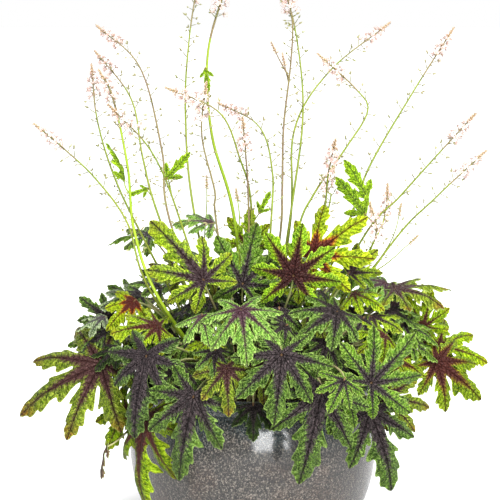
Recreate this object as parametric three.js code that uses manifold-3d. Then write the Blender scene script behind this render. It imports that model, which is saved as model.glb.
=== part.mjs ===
// A foamflower in a round glazed pot, with its soil, its cut leaves on their petioles and its tall
// flower sprays. Millimetres, +Z up, the origin at the middle of the pot's foot. The front faces -Y.
import * as THREE from "three";
import { mergeVertices } from "three/addons/utils/BufferGeometryUtils.js";
import Module from "manifold-3d";

const wasm = await Module();
wasm.setup();

// The pot. Its belly is half an ellipse turned round, cut off at the foot below and at the rim above.
const POT = {
  bellyRadius: 112,
  bellyHeight: 97,
  bellyHalfHeight: 123,
  footRadius: 68,
  floorTop: 12,
  wall: 7,
  grooveHeight: 141,
  grooveDepth: 1.6,
  rimRadius: 109,
  rimInnerRadius: 97.5,
  rimTop: 157,
  sides: 24,
};

// The soil fills the pot to just under the rim. Everything that grows stands in a hole of its own.
const SOIL = { edgeHeight: 142, crown: 5, gap: 0.3 };
const ROOT = { depth: 12, clearance: 0.35 };

// Half of a lobe's edge from its root to its tip, and its rib, as shares of the lobe's length: how far
// along, how far aside. The fine edge has a side lobe with a notch after it, the others are plain, and
// the basal lobes have no points along the rib.
const BASAL = { edge: [[0.59, 0.21], [0.86, 0.145]], rib: [] };
const COARSE = { edge: [[0.58, 0.192], [0.86, 0.132]], rib: [0.46] };
const SLIM = { edge: [[0.56, 0.158], [0.84, 0.118]], rib: [0.46] };
const FINE = { edge: [[0.54, 0.188], [0.56, 0.125], [0.75, 0.158], [0.9, 0.104]], rib: [0.38, 0.68] };

// The kinds of blade, each with its lobes from the long middle one round to one side; the other side
// mirrors them. Turns are in degrees from the middle lobe, and lengths are shares of it.
const BLADES = {
  slender: [
    { turn: 0, length: 1, half: FINE },
    { turn: 41, length: 0.66, half: FINE },
    { turn: 84, length: 0.56, half: COARSE },
    { turn: 130, length: 0.44, half: BASAL },
  ],
  even: [
    { turn: 0, length: 1, half: COARSE },
    { turn: 41, length: 0.84, half: COARSE },
    { turn: 84, length: 0.72, half: COARSE },
    { turn: 130, length: 0.54, half: BASAL },
  ],
  slim: [
    { turn: 0, length: 1, half: SLIM },
    { turn: 41, length: 0.84, half: SLIM },
    { turn: 84, length: 0.72, half: COARSE },
    { turn: 130, length: 0.54, half: BASAL },
  ],
  round: [
    { turn: 0, length: 1, half: COARSE },
    { turn: 44, length: 0.94, half: COARSE },
    { turn: 90, length: 0.88, half: COARSE },
    { turn: 136, length: 0.76, half: COARSE },
  ],
  small: [
    { turn: 0, length: 1, half: COARSE },
    { turn: 41, length: 0.84, half: COARSE },
    { turn: 84, length: 0.72, half: COARSE },
  ],
  stem: [
    { turn: 0, length: 1, half: SLIM },
    { turn: 48, length: 0.46, half: BASAL },
  ],
};
const BLADE = {
  slenderFrom: 62,
  smallBelow: 38,
  sinus: 0.31,
  baseShare: 0.06,
  baseLeast: 3.2,
  droop: 0.2,
  lobeTurnSpread: 2.5,
  lobeLengthSpread: 0.09,
  lobeLiftSpread: 0.09,
  middleThickness: 2.2,
  ribThickness: 1.5,
};
// A petiole rises straight from the soil, high enough to clear the rim, and meets the blade from behind.
const PETIOLE = {
  radius: 1.25,
  endRadius: 0.8,
  behind: 1.3,
  sides: 3,
  steps: 4,
  rise: 0.45,
  reach: 0.4,
  rimClearance: 40,
};
const SHEATH = { radius: 4, sides: 5, height: 2, spread: 2 };

// Single leaves: where petiole and blade meet, the tip of the long lobe, and the way the upper face
// looks, as degrees round from the front and degrees up.
const SINGLE_LEAVES = {
  leaf_hanging_left: { at: [-49, -158, 174], tip: [-63, -162, 104], face: [-10, 15] },
  leaf_hanging_middle: { at: [56, -161, 178], tip: [38, -164, 101], face: [3, 8] },
  leaf_hanging_right: { at: [98, -128, 155], tip: [119, -128, 86], face: [20, 10] },
  leaf_hanging_corner: { at: [-92, -119, 145], tip: [-95, -123, 65], face: [-46, 5] },
  leaf_front_middle: { at: [23, -168, 211], tip: [17, -178, 155], face: [5, 20] },
  leaf_front_purple: { at: [-89, -128, 202], tip: [-101, -136, 134], face: [-25, 20] },
  leaf_far_left: { at: [-132, -75, 184], tip: [-205, -75, 142], face: [-30, 30], kind: "slim" },
  leaf_front_left_pale: { at: [-42, -140, 238], tip: [-36, -168, 219], face: [-10, 50] },
  leaf_front_middle_pale: { at: [-10, -150, 245], tip: [-5, -178, 206], face: [0, 45] },
  leaf_front_right_dark: { at: [70, -125, 239], tip: [36, -150, 221], face: [5, 50] },
  leaf_front_right_large: { at: [97, -152, 184], tip: [136, -135, 222], face: [30, 25], kind: "slim" },
  leaf_right_red: { at: [160, -65, 184], tip: [200, -63, 150], face: [25, 25] },
  leaf_right_lime: { at: [165, -34, 192], tip: [210, -29, 177], face: [25, 40] },
  leaf_left_lime: { at: [-81, -95, 221], tip: [-121, -105, 217], face: [-20, 50] },
  leaf_left_dark: { at: [-130, -18, 213], tip: [-155, -16, 233], face: [-25, 35] },
  leaf_top_red: { at: [34, -100, 265], tip: [42, -83, 308], face: [0, 30], kind: "round" },
  leaf_top_yellow: { at: [52, -71, 278], tip: [97, -66, 312], face: [20, 40] },
  leaf_top_left: { at: [-42, -92, 260], tip: [-88, -72, 309], face: [-10, 45] },
  leaf_top_middle: { at: [-9, -74, 254], tip: [3, -54, 305], face: [0, 35] },
  leaf_top_back: { at: [-5, 30, 272], tip: [-2, 38, 308], face: [0, 30] },
};

// Leaves that share one sheath at the base, so that their petioles leave the soil together.
const TUFTS = {
  leaves_low_left: [
    { at: [-109, -84, 147], tip: [-127, -88, 111], face: [-20, 15] },
    { at: [-131, -48, 220], tip: [-156, -55, 210], face: [-20, 75] },
    { at: [-104, -58, 236], tip: [-128, -66, 212], face: [-20, 40] },
  ],
  leaves_low_middle: [
    { at: [7, -148, 200], tip: [9, -156, 166], face: [0, 25] },
    { at: [27, -136, 229], tip: [9, -154, 220], face: [0, 40] },
    { at: [22, -112, 238], tip: [24, -132, 212], face: [5, 35] },
  ],
  leaves_low_middle_left: [
    { at: [-22, -160, 198], tip: [-20, -172, 161], face: [0, 30] },
    { at: [-31, -150, 211], tip: [-32, -165, 189], face: [0, 40] },
    { at: [-64, -126, 194], tip: [-62, -140, 158], face: [-5, 20] },
  ],
  leaves_low_middle_right: [
    { at: [73, -179, 192], tip: [60, -189, 167], face: [10, 30] },
    { at: [78, -152, 174], tip: [63, -158, 142], face: [10, 10] },
    { at: [62, -122, 212], tip: [52, -140, 186], face: [5, 25] },
  ],
  leaves_low_right: [
    { at: [113, -104, 160], tip: [153, -92, 151], face: [45, 20] },
    { at: [112, -100, 214], tip: [88, -125, 204], face: [10, 45] },
    { at: [94, -88, 226], tip: [82, -106, 210], face: [10, 35] },
  ],
  leaves_high_right: [
    { at: [118, -20, 246], tip: [85, -54, 238], face: [10, 60] },
    { at: [151, -28, 208], tip: [160, -20, 241], face: [15, 40] },
    { at: [84, -60, 262], tip: [108, -60, 282], face: [15, 35] },
    { at: [125, -35, 243], tip: [176, -25, 243], face: [20, 78] },
  ],
  leaves_high_left: [
    { at: [-82, -45, 247], tip: [-107, -55, 253], face: [-20, 60] },
    { at: [-94, 30, 283], tip: [-134, 30, 277], face: [0, 74] },
    { at: [-110, 4, 229], tip: [-132, 9, 240], face: [-20, 40] },
  ],
  leaves_high_middle: [
    { at: [-63, -60, 259], tip: [-89, -60, 271], face: [-20, 55] },
    { at: [-37, 0, 298], tip: [-72, 0, 298], face: [0, 72] },
  ],
};

// The leaves at the back stand in tufts of three by a rule, from right to left: one hangs over the rim,
// one spreads above it, and one stands high near the middle. Neighbours are staggered out and in, up
// and down.
const BACK = {
  tufts: 7,
  draws: 4,
  from: 20,
  to: 160,
  spread: 5,
  tiers: [
    { reach: 124, height: 160, out: 30, up: -46, look: 25, shift: 0, stagger: [9, -8] },
    { reach: 100, height: 212, out: 44, up: -6, look: 55, shift: 0.3, stagger: [3, 11] },
    { reach: 66, height: 246, out: 36, up: 12, look: 55, shift: 0, stagger: [-10, 9] },
  ],
};

// The flower sprays: the points that each stem passes from low to high. Some carry small leaves, which
// leave the stem at a given height, and side shoots, which leave it at a given height too and end in a
// bud cluster of their own.
const SPRAYS = {
  spray_01: {
    path: [[-89, -75, 249], [-108, -69, 306], [-135, -62, 343], [-163, -56, 369], [-189, -50, 390]],
  },
  spray_02: { path: [[-92, -37, 280], [-121, -30, 340], [-138, -10, 391], [-145, 20, 438]] },
  spray_03: {
    path: [[-80, -85, 242], [-102, -71, 299], [-108, -58, 353], [-121, -44, 411], [-134, -30, 435]],
    leaves: [{ height: 330, at: [-111, -64, 343], tip: [-124, -66, 375], face: [75, 10] }],
  },
  spray_04: {
    path: [[-81, -30, 301], [-99, 12, 354], [-112, 53, 406], [-148, 95, 448]],
    leaves: [{ height: 324, at: [-94, -17, 330], tip: [-110, -23, 325], face: [0, 15] }],
  },
  spray_05: { path: [[-74, -10, 300], [-82, 17, 360], [-103, 43, 435], [-144, 70, 472]] },
  spray_06: {
    path: [[-60, -60, 298], [-85, -78, 366], [-121, -95, 409]],
    leaves: [{ height: 330, at: [-73, -74, 346], tip: [-54, -72, 367], face: [10, 15] }],
  },
  spray_07: {
    path: [[-53, 20, 302], [-62, 50, 394], [-59, 80, 462], [-50, 110, 524]],
    shoots: [{ height: 255, path: [[-44, 21, 282], [-42, 21, 311], [-42, 21, 337]] }],
  },
  spray_08: {
    path: [[-16, -20, 300], [-36, -33, 379], [-39, -47, 450], [-21, -60, 514]],
    leaves: [{ height: 440, at: [-41, -49, 436], tip: [-38, -53, 418], face: [0, 20] }],
    shoots: [{ height: 285, path: [[-12, -21, 305], [-15, -22, 330]] }],
  },
  spray_09: { path: [[-32, -50, 304], [-33, -57, 332], [-44, -63, 381], [-40, -70, 426]] },
  spray_10: {
    path: [[-1, -40, 287], [-3, -58, 332], [-11, -75, 361], [-28, -92, 402], [-72, -110, 424]],
    leaves: [{ height: 302, at: [6, -53, 314], tip: [15, -55, 332], face: [0, 25] }],
  },
  spray_11: { path: [[16, -15, 299], [17, 13, 346], [5, 42, 382], [-32, 70, 401]] },
  spray_12: { path: [[-4, -60, 319], [-6, -75, 361], [-9, -90, 398]] },
  spray_13: { path: [[35, 15, 310], [46, 52, 394], [40, 88, 466], [26, 125, 519]] },
  spray_14: {
    path: [[24, -5, 284], [26, -9, 327], [27, -12, 384], [33, -16, 440], [34, -20, 480], [24, -22, 515]],
    shoots: [
      { height: 428, path: [[22, -21, 446], [16, -25, 459]] },
      { height: 424, path: [[28, -12, 438], [26, -10, 449]] },
    ],
  },
  spray_15: { path: [[34, 25, 294], [38, 50, 377], [71, 75, 430], [128, 100, 474]] },
  spray_16: {
    path: [[38, -20, 286], [54, -14, 325], [82, -8, 365], [102, -2, 398], [92, 4, 417], [58, 10, 448]],
  },
  spray_17: { path: [[58, -45, 296], [64, -72, 348], [69, -95, 380]] },
  spray_18: { path: [[66, -28, 312], [64, -30, 330], [73, -30, 356]] },
  spray_19: { path: [[89, 10, 304], [107, 27, 348], [147, 43, 414], [184, 60, 470]] },
  spray_20: { path: [[96, -20, 284], [129, -32, 325], [157, -43, 359], [191, -55, 399]] },
  spray_21: {
    path: [[123, 6, 275], [163, -6, 321], [207, -8, 363]],
    shoots: [{ height: 250, path: [[121, 0, 261], [136, -6, 276], [147, -10, 287]] }],
  },
  spray_22: {
    path: [[107, 4, 276], [120, 14, 308], [122, 20, 330]],
    shoots: [{ height: 225, path: [[112, 18, 258], [128, 16, 285], [134, 14, 313]] }],
  },
  spray_23: {
    path: [[103, -41, 279], [102, -45, 321]],
    leaves: [
      { height: 300, at: [97, -47, 312], tip: [72, -55, 344], face: [-10, 25] },
      { height: 312, at: [99, -42, 326], tip: [80, -38, 358], face: [0, 35] },
    ],
  },
};
const STEM = { footRadius: 1.4, tipRadius: 0.8, sides: 3, spacing: 33, baseShare: 0.3 };
const FLORETS = { spacing: 90, start: 0.5, first: 10, last: 6, width: 1.8, goldenTurn: 137.5, lean: 0.5 };
const BUDS = { length: 13, width: 2.8 };

// A repeatable draw between 0 and 1 for any number.
function draw(n) {
  const s = Math.sin(n * 12.9898) * 43758.5453;
  return s - Math.floor(s);
}

// A repeatable draw between -1 and 1.
const spread = (n) => 2 * draw(n) - 1;

const rad = THREE.MathUtils.degToRad;
const vector = (a) => new THREE.Vector3(a[0], a[1], a[2]);

// The direction a face looks in, from degrees round from the front and degrees up.
function facing([round, up]) {
  const [a, e] = [rad(round), rad(up)];
  return new THREE.Vector3(Math.sin(a) * Math.cos(e), -Math.cos(a) * Math.cos(e), Math.sin(e));
}

function geometryOf(points, faces) {
  const geometry = new THREE.BufferGeometry();
  const places = points.flatMap((p) => [p.x, p.y, p.z]);
  geometry.setAttribute("position", new THREE.Float32BufferAttribute(places, 3));
  geometry.setIndex(faces.flat());
  return geometry;
}

function solidOf(geometry) {
  const bare = geometry.clone();
  bare.deleteAttribute("normal");
  bare.deleteAttribute("uv");
  const merged = mergeVertices(bare, 1e-4);
  return new wasm.Manifold(
    new wasm.Mesh({
      numProp: 3,
      vertProperties: merged.attributes.position.array,
      triVerts: new Uint32Array(merged.index.array),
    }),
  );
}

function geometryFrom(solid) {
  const { vertProperties, triVerts } = solid.getMesh();
  const geometry = new THREE.BufferGeometry();
  geometry.setAttribute("position", new THREE.BufferAttribute(vertProperties, 3));
  geometry.setIndex(new THREE.BufferAttribute(triVerts, 1));
  geometry.computeVertexNormals();
  return geometry;
}

// A closed tube through the points, with a radius for each and as many sides as asked.
function tube(points, radii, sides) {
  const rings = [];
  let across = new THREE.Vector3(1, 0, 0);
  points.forEach((p, i) => {
    const next = points[Math.min(i + 1, points.length - 1)];
    const along = next.clone().sub(points[Math.max(i - 1, 0)]).normalize();
    across = across.clone().addScaledVector(along, -across.dot(along)).normalize();
    const third = new THREE.Vector3().crossVectors(along, across);
    for (let k = 0; k < sides; k++) {
      const a = (2 * Math.PI * k) / sides;
      const side = p.clone().addScaledVector(across, radii[i] * Math.cos(a));
      rings.push(side.addScaledVector(third, radii[i] * Math.sin(a)));
    }
  });
  const faces = [];
  for (let i = 0; i + 1 < points.length; i++)
    for (let k = 0; k < sides; k++) {
      const [a, b] = [i * sides + k, i * sides + ((k + 1) % sides)];
      faces.push([a, b, b + sides], [a, b + sides, a + sides]);
    }
  const last = (points.length - 1) * sides;
  for (let k = 1; k + 1 < sides; k++) faces.push([0, k + 1, k], [last, last + k, last + k + 1]);
  return geometryOf(rings, faces);
}

// The triangles between a lobe's edge and its rib on one side, from the blade's middle to the lobe's tip.
function halfLobe(rim, ribs) {
  if (ribs.length === 0) return [[0, rim[0], rim[1]], [0, rim[1], rim[2]], [0, rim[2], rim[3]]];
  const inner = [[0, rim[0], ribs[0]], [ribs[0], rim[0], rim[1]], [ribs[0], rim[1], rim[2]]];
  if (ribs.length === 1) return [...inner, [ribs[0], rim[2], rim[3]]];
  const outer = [2, 3, 4].map((i) => [ribs[1], rim[i], rim[i + 1]]);
  return [...inner, [ribs[0], rim[2], ribs[1]], ...outer];
}

// The lobes of one blade in order round it, each a little different from its kind.
function lobesOf(kind, seed) {
  const [middle, ...side] = BLADES[kind];
  const row = [...side.map((lobe) => ({ ...lobe, turn: -lobe.turn })).reverse(), middle, ...side];
  return row.map((lobe, i) => {
    if (lobe === middle) return { ...lobe, turn: 0, lift: 0 };
    return {
      half: lobe.half,
      turn: rad(lobe.turn + BLADE.lobeTurnSpread * spread(seed + 10 * i)),
      length: lobe.length * (1 + BLADE.lobeLengthSpread * spread(seed + 10 * i + 1)),
      lift: BLADE.lobeLiftSpread * spread(seed + 10 * i + 2),
    };
  });
}

// The flat blade, its long lobe along +u with length 1: the points of its edge and ribs, and the
// triangles between them.
function bladePattern(kind, seed, size) {
  const points = [{ u: 0, v: 0, lift: 0, thickness: BLADE.middleThickness }];
  const faces = [];
  const add = (u, v, lift, thickness = 0) => points.push({ u, v, lift, thickness }) - 1;
  const polar = (turn, radius, lift) => add(radius * Math.cos(turn), radius * Math.sin(turn), lift);
  const mean = (one, two) => (one + two) / 2;
  const notch = (one, two) =>
    polar(mean(one.turn, two.turn), BLADE.sinus * mean(one.length, two.length), mean(one.lift, two.lift));
  const base = polar(Math.PI, Math.max(BLADE.baseShare, BLADE.baseLeast / size), 0);
  const lobes = lobesOf(kind, seed);
  let before = base;
  lobes.forEach((lobe, i) => {
    const after = i + 1 < lobes.length ? notch(lobe, lobes[i + 1]) : base;
    const [c, s] = [Math.cos(lobe.turn), Math.sin(lobe.turn)];
    const at = (along, aside, thickness) => {
      const [u, v] = [along * c - aside * s, along * s + aside * c];
      return add(lobe.length * u, lobe.length * v, lobe.lift, thickness);
    };
    const ribs = lobe.half.rib.map((along) => at(along, 0, BLADE.ribThickness));
    const tip = at(1, 0);
    for (const side of [-1, 1]) {
      const teeth = lobe.half.edge.map(([along, aside]) => at(along, side * aside));
      const half = halfLobe([side < 0 ? before : after, ...teeth, tip], ribs);
      faces.push(...half.map(([a, b, d]) => (side < 0 ? [a, b, d] : [a, d, b])));
    }
    before = after;
  });
  return { points, faces };
}

function kindOf(leaf, size) {
  if (leaf.kind) return leaf.kind;
  if (size > BLADE.slenderFrom) return "slender";
  return size < BLADE.smallBelow ? "small" : "even";
}

// The blade in its place: two sheets that meet at the edge and stand apart along the ribs.
function blade(leaf, seed, onStem = false) {
  const at = vector(leaf.at);
  const chord = vector(leaf.tip).sub(at);
  const size = chord.length() / Math.hypot(1, BLADE.droop);
  const up = facing(leaf.face);
  const along = chord.normalize();
  up.addScaledVector(along, -up.dot(along)).normalize();
  const across = new THREE.Vector3().crossVectors(up, along);
  const tilt = Math.atan(BLADE.droop);
  along.applyAxisAngle(across, -tilt);
  up.applyAxisAngle(across, -tilt);
  const { points, faces } = bladePattern(onStem ? "stem" : kindOf(leaf, size), seed, size);
  const count = points.length;
  const sheet = (side) =>
    points.map(({ u, v, lift, thickness }) => {
      const rho = u * u + v * v;
      return at
        .clone()
        .addScaledVector(along, size * u)
        .addScaledVector(across, size * v)
        .addScaledVector(up, size * rho * (lift - BLADE.droop) + (side * thickness) / 2);
    });
  // The lower sheet shares the edge's points with the upper one, and turns its faces round.
  const lower = points.map(({ thickness }, i) => (thickness ? count + i : i));
  const all = [...sheet(1), ...sheet(-1)];
  const closed = [...faces, ...faces.map(([a, b, d]) => [lower[a], lower[d], lower[b]])];
  return { solid: solidOf(geometryOf(all, closed)), at, along, up };
}

const soilHeight = (radius) => SOIL.edgeHeight + SOIL.crown * (1 - (radius / POT.rimInnerRadius) ** 2);

// Where a petiole leaves the soil: nearer the rim the lower its leaf hangs.
function rootOf(at) {
  const reach = Math.hypot(at[0], at[1]);
  const steepness = THREE.MathUtils.radToDeg(Math.atan2(at[2] - SOIL.edgeHeight, reach));
  const radius = THREE.MathUtils.clamp(90 - 1.15 * steepness, 40, 88);
  return new THREE.Vector3((at[0] / reach) * radius, (at[1] / reach) * radius, soilHeight(radius));
}

function petiole(root, depth, { at, along, up }) {
  const far = at.distanceTo(root);
  const rise = new THREE.Vector3(0, 0, Math.max(PETIOLE.rise * far, PETIOLE.rimClearance));
  const back = along.clone().multiplyScalar(0.55).addScaledVector(up, 0.65);
  const end = at.clone().addScaledVector(along, -PETIOLE.behind);
  const bend = end.clone().addScaledVector(back, -PETIOLE.reach * far);
  const curve = new THREE.CubicBezierCurve3(root, root.clone().add(rise), bend, end);
  const points = [root.clone().setZ(root.z - depth), ...curve.getPoints(PETIOLE.steps)];
  const radii = points.map((_, i) => (i < points.length - 1 ? PETIOLE.radius : PETIOLE.endRadius));
  return solidOf(tube(points, radii, PETIOLE.sides));
}

const holes = [];

// The hole that a tube standing upright at a root leaves in the soil.
function dig(root, radius, sides) {
  const points = [
    new THREE.Vector3(root.x, root.y, root.z - ROOT.depth - SOIL.gap),
    new THREE.Vector3(root.x, root.y, root.z + 3),
  ];
  const wide = (radius + ROOT.clearance) / Math.cos(Math.PI / sides);
  holes.push(solidOf(tube(points, [wide, wide], sides)));
}

let leafNumber = 0;

function singleLeaf(leaf) {
  const root = rootOf(leaf.at);
  dig(root, PETIOLE.radius, PETIOLE.sides);
  const made = blade(leaf, 100 * ++leafNumber);
  return made.solid.add(petiole(root, ROOT.depth, made));
}

// Leaves whose petioles rise side by side from one short sheath.
function tuft(leaves) {
  const middle = [0, 1, 2].map((k) => leaves.reduce((sum, leaf) => sum + leaf.at[k] / leaves.length, 0));
  const root = rootOf(middle);
  dig(root, SHEATH.radius, SHEATH.sides);
  const ends = [root.clone().setZ(root.z - ROOT.depth), root.clone().setZ(root.z + SHEATH.height)];
  const sheath = solidOf(tube(ends, [SHEATH.radius, SHEATH.radius], SHEATH.sides));
  const outward = Math.atan2(root.y, root.x);
  const aside = new THREE.Vector3(-Math.sin(outward), Math.cos(outward), 0);
  const turn = (leaf) => Math.sin(Math.atan2(leaf.at[1], leaf.at[0]) - outward);
  const inOrder = leaves.toSorted((a, b) => turn(a) - turn(b));
  return leaves.reduce((whole, leaf) => {
    const made = blade(leaf, 100 * ++leafNumber);
    const place = (2 * inOrder.indexOf(leaf)) / (leaves.length - 1) - 1;
    const foot = root.clone().addScaledVector(aside, SHEATH.spread * place);
    return whole.add(made.solid.add(petiole(foot, 1, made)));
  }, sheath);
}

// The leaves of the tuft with a given place in the row at the back.
function backTuft(k) {
  const odd = k % 2 === 1;
  return BACK.tiers.map(({ reach, height, out, up, look, shift, stagger }, tier) => {
    const seed = BACK.draws + 50 * k + 10 * tier;
    const place = THREE.MathUtils.lerp(BACK.from, BACK.to, (k + shift) / (BACK.tufts - 1));
    const turn = place + BACK.spread * spread(seed);
    const r = reach + (odd ? 1 : -1) * stagger[0] + BACK.spread * spread(seed + 1);
    const z = height + (odd ? 1 : -1) * stagger[1] + BACK.spread * spread(seed + 2);
    const [x, y] = [Math.cos(rad(turn)), Math.sin(rad(turn))];
    return { at: [r * x, r * y, z], tip: [(r + out) * x, (r + out) * y, z + up], face: [turn + 90, look] };
  });
}

// A bud or flower on its stalk: a slim three-sided spindle whose root is sunk in the stem.
function floret(from, direction, length, width) {
  const across = new THREE.Vector3(0, 0, 1).cross(direction).normalize();
  const third = new THREE.Vector3().crossVectors(direction, across);
  const ring = [0, 1, 2].map((k) => {
    const a = (2 * Math.PI * k) / 3;
    return from
      .clone()
      .addScaledVector(direction, 0.66 * length)
      .addScaledVector(across, width * Math.cos(a))
      .addScaledVector(third, width * Math.sin(a));
  });
  const points = [from, from.clone().addScaledVector(direction, length), ...ring];
  const faces = [[0, 3, 2], [0, 4, 3], [0, 2, 4], [1, 2, 3], [1, 3, 4], [1, 4, 2]];
  return solidOf(geometryOf(points, faces));
}

// The point of a stem at a given height.
function pointAtHeight(points, height) {
  const i = points.findIndex((p) => p.z > height);
  const [low, high] = [points[i - 1], points[i]];
  return low.clone().lerp(high, (height - low.z) / (high.z - low.z));
}

// A smooth row of points from a start through the given places, a step apart.
function stemPoints(start, places, step) {
  const curve = new THREE.CatmullRomCurve3([start, ...places.map(vector)], false, "catmullrom", 0.5);
  return curve.getSpacedPoints(Math.round(curve.getLength() / step));
}

// The bud cluster that closes a stem.
function budCluster(points) {
  const [before, end] = points.slice(-2);
  const along = end.clone().sub(before).normalize();
  return floret(end.clone().addScaledVector(along, 1 - BUDS.length), along, BUDS.length, BUDS.width);
}

// A small leaf on a short stalk that grows from the stem.
function stemLeaf(points, leaf, seed) {
  const made = blade(leaf, seed, true);
  const start = pointAtHeight(points, leaf.height);
  const end = made.at.clone().addScaledVector(made.along, -PETIOLE.behind);
  const middle = start.clone().lerp(end, 0.5).addScaledVector(made.up, -0.1 * start.distanceTo(end));
  return made.solid.add(solidOf(tube([start, middle, end], [0.9, 0.9, 0.7], STEM.sides)));
}

function sprayNode({ path, leaves = [], shoots = [] }, number) {
  const radius = Math.hypot(path[0][0], path[0][1]) * STEM.baseShare;
  const turn = Math.atan2(path[0][1], path[0][0]);
  const root = new THREE.Vector3(radius * Math.cos(turn), radius * Math.sin(turn), soilHeight(radius));
  dig(root, STEM.footRadius, STEM.sides);
  const points = [root.clone().setZ(root.z - ROOT.depth), ...stemPoints(root, path, STEM.spacing)];
  const last = points.length - 1;
  const radii = points.map((_, i) => THREE.MathUtils.lerp(STEM.footRadius, STEM.tipRadius, i / last));
  let whole = solidOf(tube(points, radii, STEM.sides)).add(budCluster(points));
  const count = Math.round(points[0].distanceTo(points[last]) / FLORETS.spacing);
  for (let k = 0; k < count; k++) {
    const share = k / count;
    const place = last * (FLORETS.start + (1 - FLORETS.start) * share);
    const step = Math.floor(place);
    const [low, high] = [points[step], points[step + 1]];
    const from = low.clone().lerp(high, place - step);
    const along = high.clone().sub(low).normalize();
    const length = THREE.MathUtils.lerp(FLORETS.first, FLORETS.last, share);
    const out = new THREE.Vector3(1, 0, 0).cross(along).normalize();
    out.applyAxisAngle(along, rad(FLORETS.goldenTurn * k + 40 * number));
    out.addScaledVector(along, FLORETS.lean).normalize();
    whole = whole.add(floret(from, out, length, FLORETS.width));
  }
  leaves.forEach((leaf, i) => {
    whole = whole.add(stemLeaf(points, leaf, 5000 + 100 * number + 10 * i));
  });
  shoots.forEach((shoot) => {
    const side = stemPoints(pointAtHeight(points, shoot.height), shoot.path, STEM.spacing);
    const shootRadii = side.map(() => STEM.tipRadius);
    whole = whole.add(solidOf(tube(side, shootRadii, STEM.sides))).add(budCluster(side));
  });
  return whole;
}

// A closed outline of [radius, height] pairs turned round the axis.
function turned(outline, sides) {
  const points = outline.map(([r, z]) => new THREE.Vector2(r, z));
  return solidOf(new THREE.LatheGeometry(points, sides).rotateX(Math.PI / 2));
}

const bellyAt = (z) => POT.bellyRadius * Math.sqrt(1 - ((z - POT.bellyHeight) / POT.bellyHalfHeight) ** 2);
const BELLY_LEVELS = [14, 40, 74, 104, 127];
const WALL_LEVELS = [44, 97, 131];

function potSolid() {
  const outer = BELLY_LEVELS.map((z) => [bellyAt(z), z]);
  const inner = WALL_LEVELS.map((z) => [bellyAt(z) - POT.wall, z]).reverse();
  const outline = [
    [0, 0],
    [POT.footRadius, 0],
    ...outer,
    [bellyAt(POT.grooveHeight) - POT.grooveDepth, POT.grooveHeight],
    [POT.rimRadius, POT.grooveHeight + 4],
    [POT.rimRadius, POT.rimTop - 4],
    [POT.rimRadius - 4, POT.rimTop],
    [POT.rimInnerRadius + 3, POT.rimTop],
    [POT.rimInnerRadius, POT.rimTop - 4],
    [POT.rimInnerRadius, POT.grooveHeight],
    ...inner,
    [bellyAt(POT.floorTop) - POT.wall - 6, POT.floorTop],
    [0, POT.floorTop],
  ];
  return turned(outline, POT.sides);
}

function soilSolid() {
  const inside = WALL_LEVELS.map((z) => [bellyAt(z) - POT.wall - SOIL.gap, z]);
  const edge = POT.rimInnerRadius - SOIL.gap;
  const body = turned(
    [
      [0, POT.floorTop + SOIL.gap],
      [bellyAt(POT.floorTop) - POT.wall - 6 - SOIL.gap, POT.floorTop + SOIL.gap],
      ...inside,
      [edge, POT.grooveHeight],
      [edge, SOIL.edgeHeight],
      [edge / 2, soilHeight(edge / 2)],
      [0, soilHeight(0)],
    ],
    POT.sides,
  );
  return holes.reduce((left, hole) => left.subtract(hole), body);
}

function mesh(name, solid, colour, roughness) {
  const made = new THREE.Mesh(
    geometryFrom(solid),
    new THREE.MeshStandardMaterial({ color: colour, roughness, metalness: 0 }),
  );
  made.name = name;
  return made;
}

const plant = new THREE.Group();
const grow = (name, solid, colour) => plant.add(mesh(name, solid, colour, 0.6));
for (const [name, leaf] of Object.entries(SINGLE_LEAVES)) grow(name, singleLeaf(leaf), 0x4f7a2c);
for (const [name, leaves] of Object.entries(TUFTS)) grow(name, tuft(leaves), 0x4f7a2c);
for (let k = 0; k < BACK.tufts; k++) grow(`leaves_back_${k + 1}`, tuft(backTuft(k)), 0x4f7a2c);
Object.entries(SPRAYS).forEach(([name, spray], i) => grow(name, sprayNode(spray, i), 0x9fb04a));

const potted = new THREE.Group();
potted.add(mesh("pot", potSolid(), 0x4a4745, 0.3), mesh("soil", soilSolid(), 0x3a2a1e, 0.95), plant);

export default potted;
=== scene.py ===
# The looks of a foamflower in a round glazed pot: the glaze, the soil, the cut leaves with their dark
# ribs, and the flower sprays. Metres, +Z up, the front of the plant facing -Y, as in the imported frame.
import math
from collections import namedtuple

import bpy
import numpy as np
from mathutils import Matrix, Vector
from mathutils.geometry import delaunay_2d_cdt


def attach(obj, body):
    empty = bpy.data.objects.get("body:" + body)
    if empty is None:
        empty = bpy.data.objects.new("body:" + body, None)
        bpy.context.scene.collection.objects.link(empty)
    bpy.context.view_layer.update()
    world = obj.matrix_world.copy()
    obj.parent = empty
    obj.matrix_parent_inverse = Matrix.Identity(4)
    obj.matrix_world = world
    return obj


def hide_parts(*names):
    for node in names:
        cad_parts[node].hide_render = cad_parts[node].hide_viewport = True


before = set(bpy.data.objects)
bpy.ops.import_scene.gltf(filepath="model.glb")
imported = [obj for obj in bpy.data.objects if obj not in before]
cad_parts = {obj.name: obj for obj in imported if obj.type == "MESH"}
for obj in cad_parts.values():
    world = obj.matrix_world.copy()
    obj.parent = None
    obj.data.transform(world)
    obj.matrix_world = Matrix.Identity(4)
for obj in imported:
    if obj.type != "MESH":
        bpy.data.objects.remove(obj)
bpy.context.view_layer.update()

# The camera looks at the plant from the front, a little from above. The soft lights look at the height
# of the leaves. The surroundings and the floor are white.
CAMERA = {"target": (-0.0027, 0.0, 0.273), "elevation": 8.0, "distance": 1.6, "lens": 128.0, "sensor": 36.0}
WORLD_LIGHT = 0.11
LIT_HEIGHT = 0.2
FLOOR_REACH = 30
FLOOR_COLOUR = (0.93, 0.93, 0.93, 1)

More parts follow.
